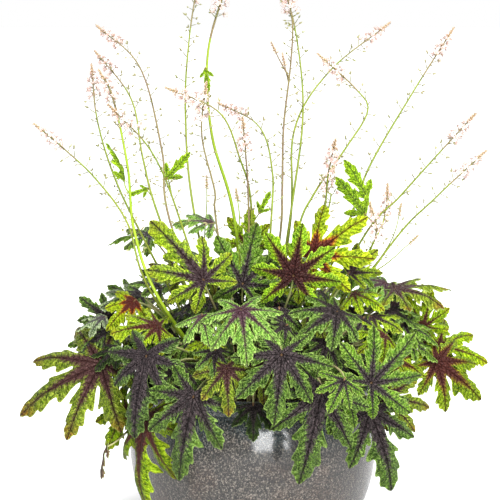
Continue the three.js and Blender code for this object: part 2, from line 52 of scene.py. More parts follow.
# The pot and its soil, with the sizes of the solids.
BELLY_RADIUS = 0.112
BELLY_HEIGHT = 0.097
BELLY_HALF_HEIGHT = 0.123
FOOT_RADIUS = 0.068
FOOT_EDGE = 0.001
FOOT_HEIGHT = 0.006
POT_SIDES = 144
BELLY_RINGS = 44
INSIDE_RINGS = 12
FLOOR_TOP = 0.012
WALL = 0.007
GROOVE_HEIGHT = 0.1405
GROOVE_DEPTH = 0.0016
RIM_MIDDLE = (0.10325, 0.1495)
RIM_HALF = (0.00575, 0.0075)
RIM_INNER_RADIUS = 0.0975
RIM_FROM = -68
RIM_STEPS = 26
SOIL_EDGE = 0.142
SOIL_CROWN = 0.005
SOIL_RINGS = 46
SOIL_SIDES = 150
SOIL_GAP = 0.0003
SOIL_BELOW = [(0, 0.05), (0.07, 0.05), (0.088, 0.1)]

# The lumps of the soil are waves of four lengths. Crumbs and bits of bark lie on them, with a least size
# and how much chance adds to it.
LUMP_WAVES = 60
LUMP_SCALES = [60, 150, 320, 700]
LUMP_HEIGHT = 0.022
CRUMBS = 900
CRUMB_REACH = 0.094
CRUMB_SIZE = (0.0012, 0.0028)
CRUMB_SHAPE = (1.1, 1.3, 0.9)
BARK_SHAPE = (0.5, 1.0, 2.2)
BARK_EVERY = 7

# Half of a lobe's edge from the notch beside it to its tip, as shares of the lobe's length: how far
# along, how far aside. Blunt side lobes and teeth point forward, each with a notch behind it.
FINE = [
    (0.36, 0.100), (0.42, 0.130), (0.47, 0.158), (0.510, 0.184), (0.540, 0.192), (0.556, 0.178),
    (0.552, 0.152), (0.545, 0.131), (0.565, 0.117), (0.610, 0.122), (0.660, 0.138), (0.710, 0.156),
    (0.745, 0.162), (0.765, 0.148), (0.764, 0.127), (0.785, 0.114), (0.830, 0.114), (0.875, 0.112),
    (0.905, 0.100), (0.915, 0.078), (0.930, 0.061), (0.955, 0.048), (0.975, 0.033), (0.990, 0.018),
]
COARSE = [
    (0.36, 0.106), (0.43, 0.138), (0.49, 0.168), (0.540, 0.190), (0.575, 0.197), (0.595, 0.184),
    (0.594, 0.160), (0.592, 0.141), (0.612, 0.130), (0.660, 0.136), (0.715, 0.152), (0.765, 0.163),
    (0.795, 0.156), (0.806, 0.136), (0.815, 0.118), (0.850, 0.113), (0.890, 0.110), (0.916, 0.096),
    (0.925, 0.074), (0.945, 0.058), (0.970, 0.043), (0.988, 0.024),
]
SLIM = [
    (0.35, 0.102), (0.42, 0.121), (0.48, 0.140), (0.530, 0.157), (0.560, 0.162), (0.580, 0.150),
    (0.580, 0.128), (0.578, 0.112), (0.598, 0.104), (0.645, 0.110), (0.700, 0.125), (0.752, 0.136),
    (0.784, 0.130), (0.796, 0.111), (0.806, 0.096), (0.842, 0.094), (0.884, 0.092), (0.912, 0.080),
    (0.922, 0.062), (0.944, 0.048), (0.970, 0.036), (0.988, 0.020),
]
BASAL = [
    (0.38, 0.120), (0.45, 0.158), (0.51, 0.192), (0.562, 0.212), (0.598, 0.208), (0.610, 0.182),
    (0.620, 0.160), (0.655, 0.156), (0.705, 0.168), (0.750, 0.174), (0.782, 0.160), (0.792, 0.136),
    (0.820, 0.128), (0.862, 0.126), (0.890, 0.110), (0.905, 0.084), (0.935, 0.064), (0.970, 0.040),
]

# The kinds of blade: the lobes from the long middle one round to one side, with their turns in degrees,
# their lengths as shares of the middle one, and their edges. The other side mirrors them.
BLADES = {
    "slender": [(0, 1, FINE), (41, 0.66, FINE), (84, 0.56, COARSE), (130, 0.44, BASAL)],
    "even": [(0, 1, COARSE), (41, 0.84, COARSE), (84, 0.72, COARSE), (130, 0.54, BASAL)],
    "slim": [(0, 1, SLIM), (41, 0.84, SLIM), (84, 0.72, COARSE), (130, 0.54, BASAL)],
    "round": [(0, 1, COARSE), (44, 0.94, COARSE), (90, 0.88, COARSE), (136, 0.76, COARSE)],
    "small": [(0, 1, COARSE), (41, 0.84, COARSE), (84, 0.72, COARSE)],
    "stem": [(0, 1, SLIM), (48, 0.46, BASAL)],
}

# The sizes from which a blade is slender and below which it is small, where the notches between lobes
# lie, how far the blade droops, how much chance changes its lobes and its edge, and how fine its mesh is.
SLENDER_FROM = 0.062
SMALL_BELOW = 0.038
SINUS = 0.31
BASE_SHARE = 0.06
BASE_LEAST = 0.0032
DROOP = 0.2
LOBE_TURN_SPREAD = 2.5
LOBE_LENGTH_SPREAD = 0.09
LOBE_LIFT_SPREAD = 0.09
EDGE_SWELL = 0.10
EDGE_SHIFT = 0.018
LEAF_STEP = 0.0027
ROW_STEP = 0.866
LEAF_THICKNESS = 0.0004

# How far apart leaves may lie in the pattern of the tints, so that no two are mottled alike.
LEAF_OFFSET = 0.05

# The relief of a blade, as shares of its size: ribs lie in grooves, the blade is quilted between the
# side veins, its free lobes wave, twist and hang at their sides, and their tips curl.
VEIN_SPACING = 0.085
VEIN_SLOPE = 0.85
GROOVE = 0.012
GROOVE_WIDTH = 0.03
QUILT = 0.007
WAVE = 0.024
WAVES = 1.3
HALF_LOBE = 0.17
TWIST = 0.5
CURL = 0.16
HANG = 0.8
HANG_FROM = 0.05
FREE_LOBE = (0.22, 0.5)
CURL_ZONE = (0.6, 1.15)

# A petiole rises from the soil, nearer the rim the lower its leaf hangs, and comes up to its blade from
# behind and below. The petioles of a tuft rise from a short common sheath.
PETIOLE_RADIUS = 0.00115
PETIOLE_END_RADIUS = 0.0007
PETIOLE_RISE = 0.45
PETIOLE_REACH = 0.4
PETIOLE_BEHIND = 0.55
PETIOLE_BELOW = 0.65
PETIOLE_GAP = 0.0005
PETIOLE_STEPS = 16
PETIOLE_SIDES = 7
RIM_CLEARANCE = 0.04
ROOT_REACH = 0.090
ROOT_PER_DEGREE = 0.00115
ROOT_NEAREST = 0.040
ROOT_FARTHEST = 0.088
ROOT_DEPTH = 0.004
SHEATH_RADIUS = 0.0034
SHEATH_HEIGHT = 0.004
SHEATH_SPREAD = 0.002

# Each leaf: where petiole and blade meet, the tip of the long lobe, the way its upper face looks, as
# degrees round from the front and degrees up, its tint, and its kind where that isn't left to its size.
Leaf = namedtuple("Leaf", "at tip face tint kind", defaults=[None])
LEAVES = {
    "leaf_hanging_left": [Leaf((-0.049, -0.158, 0.174), (-0.063, -0.162, 0.104), (-10, 15), "dark")],
    "leaf_hanging_middle": [Leaf((0.056, -0.161, 0.178), (0.038, -0.164, 0.101), (3, 8), "dark")],
    "leaf_hanging_right": [Leaf((0.098, -0.128, 0.155), (0.119, -0.128, 0.086), (20, 10), "dark")],
    "leaf_hanging_corner": [Leaf((-0.092, -0.119, 0.145), (-0.095, -0.123, 0.065), (-46, 5), "ruddy")],
    "leaf_front_middle": [Leaf((0.023, -0.168, 0.211), (0.017, -0.178, 0.155), (5, 20), "dark")],
    "leaf_front_purple": [Leaf((-0.089, -0.128, 0.202), (-0.101, -0.136, 0.134), (-25, 20), "purple")],
    "leaf_far_left": [Leaf((-0.132, -0.075, 0.184), (-0.205, -0.075, 0.142), (-30, 30), "olive", "slim")],
    "leaf_front_left_pale": [Leaf((-0.042, -0.140, 0.238), (-0.036, -0.168, 0.219), (-10, 50), "pale")],
    "leaf_front_middle_pale": [Leaf((-0.010, -0.150, 0.245), (-0.005, -0.178, 0.206), (0, 45), "pale")],
    "leaf_front_right_dark": [Leaf((0.070, -0.125, 0.239), (0.036, -0.150, 0.221), (5, 50), "dark")],
    "leaf_front_right_large": [
        Leaf((0.097, -0.152, 0.184), (0.136, -0.135, 0.222), (30, 25), "green", "slim"),
    ],
    "leaf_right_red": [Leaf((0.160, -0.065, 0.184), (0.200, -0.063, 0.150), (25, 25), "red")],
    "leaf_right_lime": [Leaf((0.165, -0.034, 0.192), (0.210, -0.029, 0.177), (25, 40), "lime")],
    "leaf_left_lime": [Leaf((-0.081, -0.095, 0.221), (-0.121, -0.105, 0.217), (-20, 50), "ruddy")],
    "leaf_left_dark": [Leaf((-0.130, -0.018, 0.213), (-0.155, -0.016, 0.233), (-25, 35), "dark")],
    "leaf_top_red": [Leaf((0.034, -0.100, 0.265), (0.042, -0.083, 0.308), (0, 30), "star", "round")],
    "leaf_top_yellow": [Leaf((0.052, -0.071, 0.278), (0.097, -0.066, 0.312), (20, 40), "yellow")],
    "leaf_top_left": [Leaf((-0.042, -0.092, 0.260), (-0.088, -0.072, 0.309), (-10, 45), "sunny")],
    "leaf_top_middle": [Leaf((-0.009, -0.074, 0.254), (0.003, -0.054, 0.305), (0, 35), "green")],
    "leaf_top_back": [Leaf((-0.005, 0.030, 0.272), (-0.002, 0.038, 0.308), (0, 30), "lime")],
    "leaves_low_left": [
        Leaf((-0.109, -0.084, 0.147), (-0.127, -0.088, 0.111), (-20, 15), "lime"),
        Leaf((-0.131, -0.048, 0.220), (-0.156, -0.055, 0.210), (-20, 75), "silver"),
        Leaf((-0.104, -0.058, 0.236), (-0.128, -0.066, 0.212), (-20, 40), "yellow"),
    ],
    "leaves_low_middle": [
        Leaf((0.007, -0.148, 0.200), (0.009, -0.156, 0.166), (0, 25), "olive"),
        Leaf((0.027, -0.136, 0.229), (0.009, -0.154, 0.220), (0, 40), "dark"),
        Leaf((0.022, -0.112, 0.238), (0.024, -0.132, 0.212), (5, 35), "dark"),
    ],
    "leaves_low_middle_left": [
        Leaf((-0.022, -0.160, 0.198), (-0.020, -0.172, 0.161), (0, 30), "olive"),
        Leaf((-0.031, -0.150, 0.211), (-0.032, -0.165, 0.189), (0, 40), "dark"),
        Leaf((-0.064, -0.126, 0.194), (-0.062, -0.140, 0.158), (-5, 20), "dark"),
    ],
    "leaves_low_middle_right": [
        Leaf((0.073, -0.179, 0.192), (0.060, -0.189, 0.167), (10, 30), "green"),
        Leaf((0.078, -0.152, 0.174), (0.063, -0.158, 0.142), (10, 10), "green"),
        Leaf((0.062, -0.122, 0.212), (0.052, -0.140, 0.186), (5, 25), "dark"),
    ],
    "leaves_low_right": [
        Leaf((0.113, -0.104, 0.160), (0.153, -0.092, 0.151), (45, 20), "olive"),
        Leaf((0.112, -0.100, 0.214), (0.088, -0.125, 0.204), (10, 45), "lime"),
        Leaf((0.094, -0.088, 0.226), (0.082, -0.106, 0.210), (10, 35), "dark"),
    ],
    "leaves_high_right": [
        Leaf((0.118, -0.020, 0.246), (0.085, -0.054, 0.238), (10, 60), "pale"),
        Leaf((0.151, -0.028, 0.208), (0.160, -0.020, 0.241), (15, 40), "lime"),
        Leaf((0.084, -0.060, 0.262), (0.108, -0.060, 0.282), (15, 35), "sunny"),
        Leaf((0.125, -0.035, 0.243), (0.176, -0.025, 0.243), (20, 78), "olive"),
    ],
    "leaves_high_left": [
        Leaf((-0.082, -0.045, 0.247), (-0.107, -0.055, 0.253), (-20, 60), "dark"),
        Leaf((-0.094, 0.030, 0.283), (-0.134, 0.030, 0.277), (0, 74), "green"),
        Leaf((-0.110, 0.004, 0.229), (-0.132, 0.009, 0.240), (-20, 40), "dark"),
    ],
    "leaves_high_middle": [
        Leaf((-0.063, -0.060, 0.259), (-0.089, -0.060, 0.271), (-20, 55), "olive"),
        Leaf((-0.037, 0.0, 0.298), (-0.072, 0.0, 0.298), (0, 72), "pale"),
    ],
}

# The leaves at the back stand in tufts of three by a rule, from right to left. Each tier has the reach
# and height of its blades, how far their tips go out and up, the degrees up that they look, and how they
# are shifted along the row and staggered against their neighbours.
BACK_TUFTS = 7
BACK_SEED = 4
BACK_FROM = 20
BACK_TO = 160
BACK_TURN_SPREAD = 5
BACK_SPREAD = 0.005
Tier = namedtuple("Tier", "reach height out up look shift stagger")
BACK_TIERS = [
    Tier(0.124, 0.160, 0.030, -0.046, 25, 0, (0.009, -0.008)),
    Tier(0.100, 0.212, 0.044, -0.006, 55, 0.3, (0.003, 0.011)),
    Tier(0.066, 0.246, 0.036, 0.012, 55, 0, (-0.010, 0.009)),
]
BACK_TINTS = ["green", "dark", "olive", "lime", "green", "pale", "dark"]

# Small leaves in the shade inside the clump, which close it: they stand round the axis in turns of the
# golden angle, nearer the middle the higher they are, and each belongs to the tuft that is next in order.
INNER_LEAVES = 96
INNER_REACH = (0.120, 0.038)
INNER_REACH_SPREAD = 0.010
INNER_HEIGHT = (0.170, 0.262)
INNER_HEIGHT_SPREAD = 0.012
INNER_SIZE = (0.024, 0.038)
INNER_OUT = 0.7
INNER_FALL = 0.55
INNER_FALL_SPREAD = 0.35
INNER_LOOK = 40
# The darkest tint here is a darker copy of the green ones: painted shade for the leaves deep inside the
# clump.
INNER_TINTS = ["deep", "dark", "deep", "green", "deep", "olive", "dark", "deep", "lime"]

# Leaves between and behind the front ones, which close the gaps there, each with the tuft that it
# belongs to. The first one is small and withered, and hangs on the left.
BETWEEN_LEAVES = [
    ("leaves_low_left", Leaf((-0.1256, -0.095, 0.116), (-0.1315, -0.098, 0.088), (-75, 0), "dried", "stem")),
    ("leaves_low_left", Leaf((-0.126, -0.050, 0.208), (-0.150, -0.062, 0.194), (-30, 45), "purple")),
    # A leaf with the darkest tint, whose darkness is painted shade.
    ("leaves_low_left", Leaf((-0.118, -0.070, 0.197), (-0.136, -0.085, 0.180), (-30, 30), "deep")),
    ("leaves_high_left", Leaf((-0.100, -0.030, 0.238), (-0.124, -0.040, 0.232), (-20, 50), "dark")),
    ("leaves_low_right", Leaf((0.132, -0.048, 0.214), (0.162, -0.060, 0.200), (30, 50), "green")),
    ("leaves_low_right", Leaf((0.120, -0.042, 0.226), (0.144, -0.060, 0.213), (20, 60), "dark")),
    ("leaves_low_right", Leaf((0.120, -0.070, 0.188), (0.148, -0.084, 0.176), (30, 40), "red")),
    ("leaves_high_right", Leaf((0.086, -0.030, 0.263), (0.106, -0.046, 0.248), (15, 50), "green")),
    ("leaves_high_right", Leaf((0.088, -0.045, 0.241), (0.114, -0.062, 0.231), (15, 50), "lime")),
    ("leaves_high_right", Leaf((0.104, -0.055, 0.222), (0.130, -0.070, 0.212), (20, 50), "sunny")),
    ("leaves_low_right", Leaf((0.138, -0.058, 0.200), (0.160, -0.072, 0.185), (30, 45), "green")),
    ("leaves_high_right", Leaf((0.092, 0.010, 0.216), (0.102, 0.002, 0.178), (10, 35), "green")),
    ("leaves_high_right", Leaf((0.128, 0.012, 0.224), (0.152, 0.004, 0.194), (15, 35), "sunny")),
    ("leaves_high_right", Leaf((0.120, 0.004, 0.198), (0.138, -0.004, 0.162), (15, 30), "green")),
    ("leaves_low_right", Leaf((0.150, 0.000, 0.192), (0.178, -0.008, 0.168), (25, 35), "lime")),
    ("leaves_low_left", Leaf((-0.074, -0.030, 0.208), (-0.082, -0.042, 0.168), (-10, 35), "green")),
    ("leaves_low_left", Leaf((-0.052, -0.052, 0.202), (-0.050, -0.064, 0.166), (0, 35), "olive")),
    ("leaves_high_left", Leaf((-0.105, -0.022, 0.236), (-0.136, -0.030, 0.226), (-15, 60), "silver")),
    ("leaves_low_left", Leaf((-0.138, -0.030, 0.200), (-0.162, -0.038, 0.172), (-25, 35), "green")),
]

# The raceme that closes a stem, counted back from its tip: a cone of buds, then open flowers, then seed
# capsules on their stalks, sparser towards the foot, over a share of the stem.
BUD_ZONE = 0.011
BUDS = 20
BUD_GAP = 0.0004
YOUNG_SIZE = 0.9
FLOWER_ZONE = 0.034
FLOWERS = 18
CAPSULE_SPACING = 0.0048
CAPSULE_SHARE = 0.5
CAPSULE_THINNING = 1.15

# How far each of them leans towards the tip and how large it is, as a start and a rise along its zone
# or, for a capsule, over its draw, and how much chance adds.
BUD_LEAN = (1.8, -1.2)
BUD_SIZE = (0.75, 0.35)
BUD_SIZE_SPREAD = 0.15
FLOWER_LEAN = (0.9, -0.5)
FLOWER_LEAN_SPREAD = 0.2
FLOWER_SIZE = (0.75, 0.25)
CAPSULE_LEAN = (0.55, 0.3)
CAPSULE_SIZE = (0.75, 0.35)

# The flower sprays, in the order of their numbers: the points that each stem passes, its small leaves
# and its side shoots, each with the height at which it leaves the stem, the stem's look, and the share
# of the stem that bears flowers and capsules.
Spray = namedtuple(
    "Spray", "path leaves shoots stem fruiting", defaults=[[], [], "stem_green", CAPSULE_SHARE]
)
SPRAYS = [
    Spray([(-0.089, -0.075, 0.249), (-0.108, -0.069, 0.306), (-0.135, -0.062, 0.343),
           (-0.163, -0.056, 0.369), (-0.189, -0.050, 0.390)]),
    Spray([(-0.092, -0.037, 0.280), (-0.121, -0.030, 0.340), (-0.138, -0.010, 0.391),
           (-0.145, 0.020, 0.438)]),
    Spray([(-0.080, -0.085, 0.242), (-0.102, -0.071, 0.299), (-0.108, -0.058, 0.353),
           (-0.121, -0.044, 0.411), (-0.134, -0.030, 0.435)],
          leaves=[(0.330, Leaf((-0.111, -0.064, 0.343), (-0.124, -0.066, 0.375), (75, 10), "bright"))],
          stem="stem_bright"),
    Spray([(-0.081, -0.030, 0.301), (-0.099, 0.012, 0.354), (-0.112, 0.053, 0.406),
           (-0.148, 0.095, 0.448)],
          leaves=[(0.324, Leaf((-0.094, -0.017, 0.330), (-0.110, -0.023, 0.325), (0, 15), "bright"))]),
    Spray([(-0.074, -0.010, 0.300), (-0.082, 0.017, 0.360), (-0.103, 0.043, 0.435),
           (-0.144, 0.070, 0.472)],
          stem="stem_red"),
    Spray([(-0.060, -0.060, 0.298), (-0.085, -0.078, 0.366), (-0.121, -0.095, 0.409)],
          leaves=[(0.330, Leaf((-0.073, -0.074, 0.346), (-0.054, -0.072, 0.367), (10, 15), "bright"))]),
    Spray([(-0.053, 0.020, 0.302), (-0.062, 0.050, 0.394), (-0.059, 0.080, 0.462),
           (-0.050, 0.110, 0.524)],
          shoots=[(0.255, [(-0.044, 0.021, 0.282), (-0.042, 0.021, 0.311), (-0.042, 0.021, 0.337)])]),
    Spray([(-0.016, -0.020, 0.300), (-0.036, -0.033, 0.379), (-0.039, -0.047, 0.450),
           (-0.021, -0.060, 0.514)],
          leaves=[(0.440, Leaf((-0.041, -0.049, 0.436), (-0.038, -0.053, 0.418), (0, 20), "bright"))],
          shoots=[(0.285, [(-0.012, -0.021, 0.305), (-0.015, -0.022, 0.330)])],
          stem="stem_bright",
          fruiting=0.1),
    Spray([(-0.032, -0.050, 0.304), (-0.033, -0.057, 0.332), (-0.044, -0.063, 0.381),
           (-0.040, -0.070, 0.426)],
          stem="stem_red"),
    Spray([(-0.001, -0.040, 0.287), (-0.003, -0.058, 0.332), (-0.011, -0.075, 0.361),
           (-0.028, -0.092, 0.402), (-0.072, -0.110, 0.424)],
          leaves=[(0.302, Leaf((0.006, -0.053, 0.314), (0.015, -0.055, 0.332), (0, 25), "bright"))]),
    Spray([(0.016, -0.015, 0.299), (0.017, 0.013, 0.346), (0.005, 0.042, 0.382), (-0.032, 0.070, 0.401)]),
    Spray([(-0.004, -0.060, 0.319), (-0.006, -0.075, 0.361), (-0.009, -0.090, 0.398)],
          stem="stem_red"),
    Spray([(0.035, 0.015, 0.310), (0.046, 0.052, 0.394), (0.040, 0.088, 0.466), (0.026, 0.125, 0.519)]),
    Spray([(0.024, -0.005, 0.284), (0.026, -0.009, 0.327), (0.027, -0.012, 0.384),
           (0.033, -0.016, 0.440), (0.034, -0.020, 0.480), (0.024, -0.022, 0.515)],
          shoots=[(0.428, [(0.022, -0.021, 0.446), (0.016, -0.025, 0.459)]),
                  (0.424, [(0.028, -0.012, 0.438), (0.026, -0.010, 0.449)])],
          stem="stem_red"),
    Spray([(0.034, 0.025, 0.294), (0.038, 0.050, 0.377), (0.071, 0.075, 0.430), (0.128, 0.100, 0.474)]),
    Spray([(0.038, -0.020, 0.286), (0.054, -0.014, 0.325), (0.082, -0.008, 0.365),
           (0.102, -0.002, 0.398), (0.092, 0.004, 0.417), (0.058, 0.010, 0.448)]),
    Spray([(0.058, -0.045, 0.296), (0.064, -0.072, 0.348), (0.069, -0.095, 0.380)]),
    Spray([(0.066, -0.028, 0.312), (0.064, -0.030, 0.330), (0.073, -0.030, 0.356)]),
    Spray([(0.089, 0.010, 0.304), (0.107, 0.027, 0.348), (0.147, 0.043, 0.414), (0.184, 0.060, 0.470)]),
    Spray([(0.096, -0.020, 0.284), (0.129, -0.032, 0.325), (0.157, -0.043, 0.359),
           (0.191, -0.055, 0.399)]),
    Spray([(0.123, 0.006, 0.275), (0.163, -0.006, 0.321), (0.207, -0.008, 0.363)],
          shoots=[(0.250, [(0.121, 0.0, 0.261), (0.136, -0.006, 0.276), (0.147, -0.010, 0.287)])]),
    Spray([(0.107, 0.004, 0.276), (0.120, 0.014, 0.308), (0.122, 0.020, 0.330)],
          shoots=[(0.225, [(0.112, 0.018, 0.258), (0.128, 0.016, 0.285), (0.134, 0.014, 0.313)])]),
    Spray([(0.103, -0.041, 0.279), (0.102, -0.045, 0.321)],
          leaves=[(0.300, Leaf((0.097, -0.047, 0.312), (0.072, -0.055, 0.344), (-10, 25), "bright")),
                  (0.312, Leaf((0.099, -0.042, 0.326), (0.080, -0.038, 0.358), (0, 35), "bright"))]),
]

# A stem thins from its foot to its tip, and the end of it has a tone of its own. It leaves the soil at a
# share of the distance that its path starts at. A twig bears a small leaf or is a side shoot.
STEM_FOOT_RADIUS = 0.0014
STEM_TIP_RADIUS = 0.00055
STEM_BASE_SHARE = 0.3
STEM_TOP_SHARE = 0.16
THICK_STEM = 1.4
STEM_STEP = 0.006
STEM_SIDES = 6
TWIG_RADII = (0.0007, 0.0004)
TWIG_STEP = 0.003
TWIG_SAG = 0.1
GOLDEN_TURN = math.radians(137.5)

# Where the draws of each kind of leaf, of the racemes and of the soil's lumps start, and how far apart
# the draws of two leaves or racemes are.
SEED_STEP = 100
STEM_LEAF_SEED = 5000
BETWEEN_SEED = 6000
INNER_SEED = 7000
RACEME_SEED = 900
RACEME_SEED_STEP = 60
SOIL_SEED = 11


def srgb(*tones):
    """A linear colour from its red, green and blue tones between 0 and 255."""
    linear = [((tone / 255 + 0.055) / 1.055) ** 2.4 if tone > 10 else tone / 3294.6 for tone in tones]
    return (*linear, 1.0)


def draw(n):
    """A repeatable draw between 0 and 1 for any number."""
    return math.sin(n * 12.9898) * 43758.5453 % 1.0


def spread(n):
    """A repeatable draw between -1 and 1."""
    return 2 * draw(n) - 1


def facing(turn, up):
    """The direction a face looks in, from degrees round from the front and degrees up."""
    a, e = math.radians(turn), math.radians(up)
    return Vector((math.sin(a) * math.cos(e), -math.cos(a) * math.cos(e), math.sin(e)))


def between(ends, share):
    """The value a share of the way from the first of two ends to the second."""
    return ends[0] + (ends[1] - ends[0]) * share


def ruled(rule, x):
    """The value at x of a straight rule, which has a start and a rise."""
    return rule[0] + rule[1] * x


def smooth(low, high, x):
    """Rises smoothly from 0 at low to 1 at high."""
    share = np.clip((x - low) / (high - low), 0, 1)
    return share * share * (3 - 2 * share)


def shown(name, data):
    """A new object in the scene."""
    made = bpy.data.objects.new(name, data)
    bpy.context.scene.collection.objects.link(made)
    return made


class Build:
    """Gathers what one piece is made of: points, triangles, each triangle's material and two vectors at
    each of its corners, which the leaf pattern reads."""

    def __init__(self):
        self.points, self.faces, self.looks, self.lobe, self.flat = [], [], [], [], []
        self.count = 0
        self.slots = []

    def add(self, points, faces, look, lobe=None, flat=None):
        """Takes in points, their triangles and the look of these."""
        if look not in self.slots:
            self.slots.append(look)
        points, faces = np.asarray(points, dtype=float), np.asarray(faces, dtype=np.int64)
        self.points.append(points)
        self.faces.append(faces + self.count)
        self.looks.append(np.full(len(faces), self.slots.index(look)))
        self.lobe.append(np.zeros((len(faces), 3, 3)) if lobe is None else lobe)
        self.flat.append(points[faces] if flat is None else flat)
        self.count += len(points)

    def piece(self, name, sharp=55):
        """Makes the piece. Edges sharper than the given degrees are shaded as edges."""
        mesh = bpy.data.meshes.new(name)
        points, faces = np.concatenate(self.points), np.concatenate(self.faces)
        mesh.vertices.add(len(points))
        mesh.vertices.foreach_set("co", points.ravel())
        mesh.loops.add(faces.size)
        mesh.loops.foreach_set("vertex_index", faces.ravel())
        mesh.polygons.add(len(faces))
        mesh.polygons.foreach_set("loop_start", np.arange(0, faces.size, 3))
        mesh.polygons.foreach_set("material_index", np.concatenate(self.looks))
        for key, values in (("lobe", self.lobe), ("flat", self.flat)):
            made = mesh.attributes.new(key, "FLOAT_VECTOR", "CORNER")
            made.data.foreach_set("vector", np.concatenate(values).ravel())
        mesh.update(calc_edges=True)
        mesh.shade_smooth()
        mesh.set_sharp_from_angle(angle=math.radians(sharp))
        for look in self.slots:
            mesh.materials.append(MATERIALS[look])
        return shown(name, mesh)


def tube(points, radii, sides):
    """The points and triangles of a closed tube through the points."""
    across, rings = Vector((1, 0, 0)), []
    for i, p in enumerate(points):
        along = (points[min(i + 1, len(points) - 1)] - points[max(i - 1, 0)]).normalized()
        across = (across - along * across.dot(along)).normalized()
        third = along.cross(across)
        for k in range(sides):
            a = 2 * math.pi * k / sides
            rings.append(p + (math.cos(a) * across + math.sin(a) * third) * float(radii[i]))
    faces = []
    for i in range(len(points) - 1):
        for k in range(sides):
            a, b = i * sides + k, i * sides + (k + 1) % sides
            faces += [(a, b, b + sides), (a, b + sides, a + sides)]
    last = (len(points) - 1) * sides
    for k in range(1, sides - 1):
        faces += [(0, k + 1, k), (last, last + k, last + k + 1)]
    return rings, faces


def turned(outline, sides):
    """The points and triangles of an outline of (radius, height) pairs turned round the axis. It starts
    and ends on the axis."""
    points, faces = [(0, 0, outline[0][1])], []
    rings = outline[1:-1]
    for r, z in rings:
        for k in range(sides):
            a = 2 * math.pi * k / sides
            points.append((r * math.cos(a), r * math.sin(a), z))
    points.append((0, 0, outline[-1][1]))
    last = 1 + (len(rings) - 1) * sides
    for k in range(sides):
        n = (k + 1) % sides
        faces.append((0, 1 + n, 1 + k))
        for i in range(len(rings) - 1):
            a, b = 1 + i * sides + k, 1 + i * sides + n
            faces += [(a, b, b + sides), (a, b + sides, a + sides)]
        faces.append((len(points) - 1, last + k, last + n))
    return np.array(points, dtype=float), np.array(faces)


def catmull(points, steps):
    """A smooth row of points through the given ones, with a number of steps from each to the next."""
    ends = [2 * points[0] - points[1], *points, 2 * points[-1] - points[-2]]
    row = []
    for a, b, c, d in zip(ends, ends[1:], ends[2:], ends[3:]):
        for k in range(steps):
            t = k / steps
            bend = (2 * a - 5 * b + 4 * c - d) * t**2
            row.append(0.5 * (2 * b + (c - a) * t + bend + (3 * b - a - 3 * c + d) * t**3))
    return [*row, points[-1]]


def reaches(row):
    """How far along a row of points each of them lies."""
    return np.concatenate([[0], np.cumsum(np.linalg.norm(np.diff(row, axis=0), axis=1))])


def resampled(row, step):
    """A row of points about a step apart along the given one."""
    row = np.array(row)
    reach = reaches(row)
    places = np.linspace(0, reach[-1], max(2, round(reach[-1] / step) + 1))
    return [Vector(p) for p in np.stack([np.interp(places, reach, row[:, k]) for k in range(3)], axis=1)]


# The blade of a leaf

Lobe = namedtuple("Lobe", "turn length lift edge seed")


def lobes_of(kind, seed):
    """The lobes of one blade in order round it, each a little different from its kind's."""
    middle, *side = BLADES[kind]
    row = [(-turn, length, edge) for turn, length, edge in reversed(side)] + [middle, *side]
    lobes = []
    for i, (turn, length, edge) in enumerate(row):
        own = seed + 10 * i
        if turn == 0:
            lobes.append(Lobe(0, length, 0, edge, own))
            continue
        angle = math.radians(turn + LOBE_TURN_SPREAD * spread(own))
        size = length * (1 + LOBE_LENGTH_SPREAD * spread(own + 1))
        lobes.append(Lobe(angle, size, LOBE_LIFT_SPREAD * spread(own + 2), edge, own))
    return lobes


def half_edge(lobe, side):
    """One side of a lobe's edge, from its notch to just before its tip, as the lobe's own coordinates."""
    seed = lobe.seed + 3 + side
    row = []
    for along, aside in lobe.edge:
        wide = 1 + EDGE_SWELL * math.sin(9 * along + 6.28 * draw(seed))
        shift = EDGE_SHIFT * spread(seed + 1) * math.sin(math.pi * along)
        row.append(Vector((along + shift, aside * wide)) * lobe.length)
    return row


def inside(points, outline):
    """Tells for each point whether the outline goes round it."""
    x, y = points[:, 0, None], points[:, 1, None]
    (ax, ay), (bx, by) = outline.T, np.roll(outline, -1, axis=0).T
    crosses = (ay > y) != (by > y)
    ahead = x < ax + (y - ay) * (bx - ax) / (by - ay + 1e-12)
    return (crosses & ahead).sum(axis=1) % 2 == 1


def fill_lobe(lobe, before, after, step):
    """The points and triangles of one lobe, between the seams from the blade's middle to both notches."""
    c, s = math.cos(lobe.turn), math.sin(lobe.turn)

    def placed(x, y):
        return Vector((x * c - y * s, x * s + y * c))

    def own(p):
        return Vector((p.x * c + p.y * s, -p.x * s + p.y * c))

    tip = Vector((lobe.length, 0))
    halves = []
    for side, notch in ((-1, before[-1]), (1, after[-1])):
        start = own(notch)
        edge = catmull([Vector((start.x, abs(start.y))), *half_edge(lobe, side), tip], 2)[1:-1]
        halves.append([placed(p.x, side * p.y) for p in edge])
    edge_row = [*halves[0], placed(tip.x, 0), *reversed(halves[1])]
    outline = [*before, *edge_row, *list(reversed(after))[:-1]]
    rib = [placed(x, 0) for x in np.arange(step, lobe.length - 0.4 * step, step)]
    rows = int(0.25 * lobe.length / (ROW_STEP * step)) + 1
    grid = []
    for j in range(1, rows):
        y = ROW_STEP * step * j
        for x in np.arange(step * (1 + 0.5 * (j % 2)), lobe.length, step):
            grid += [placed(x, -y), placed(x, y)]
    grid, border = np.reshape(grid, (-1, 2)), np.array(outline)
    clear = np.linalg.norm(grid[:, None] - border[None], axis=2).min(axis=1) > 0.5 * step
    points = [*outline, *rib, *[Vector(p) for p in grid[clear & inside(grid, border)]]]
    edges = [(i, (i + 1) % len(outline)) for i in range(len(outline))]
    ribs = [0, *range(len(outline), len(outline) + len(rib)), len(before) + len(halves[0])]
    edges += list(zip(ribs, ribs[1:]))
    made, _, faces, *_ = delaunay_2d_cdt(points, edges, [list(range(len(outline)))], 1, 1e-7)
    return made, faces, edge_row


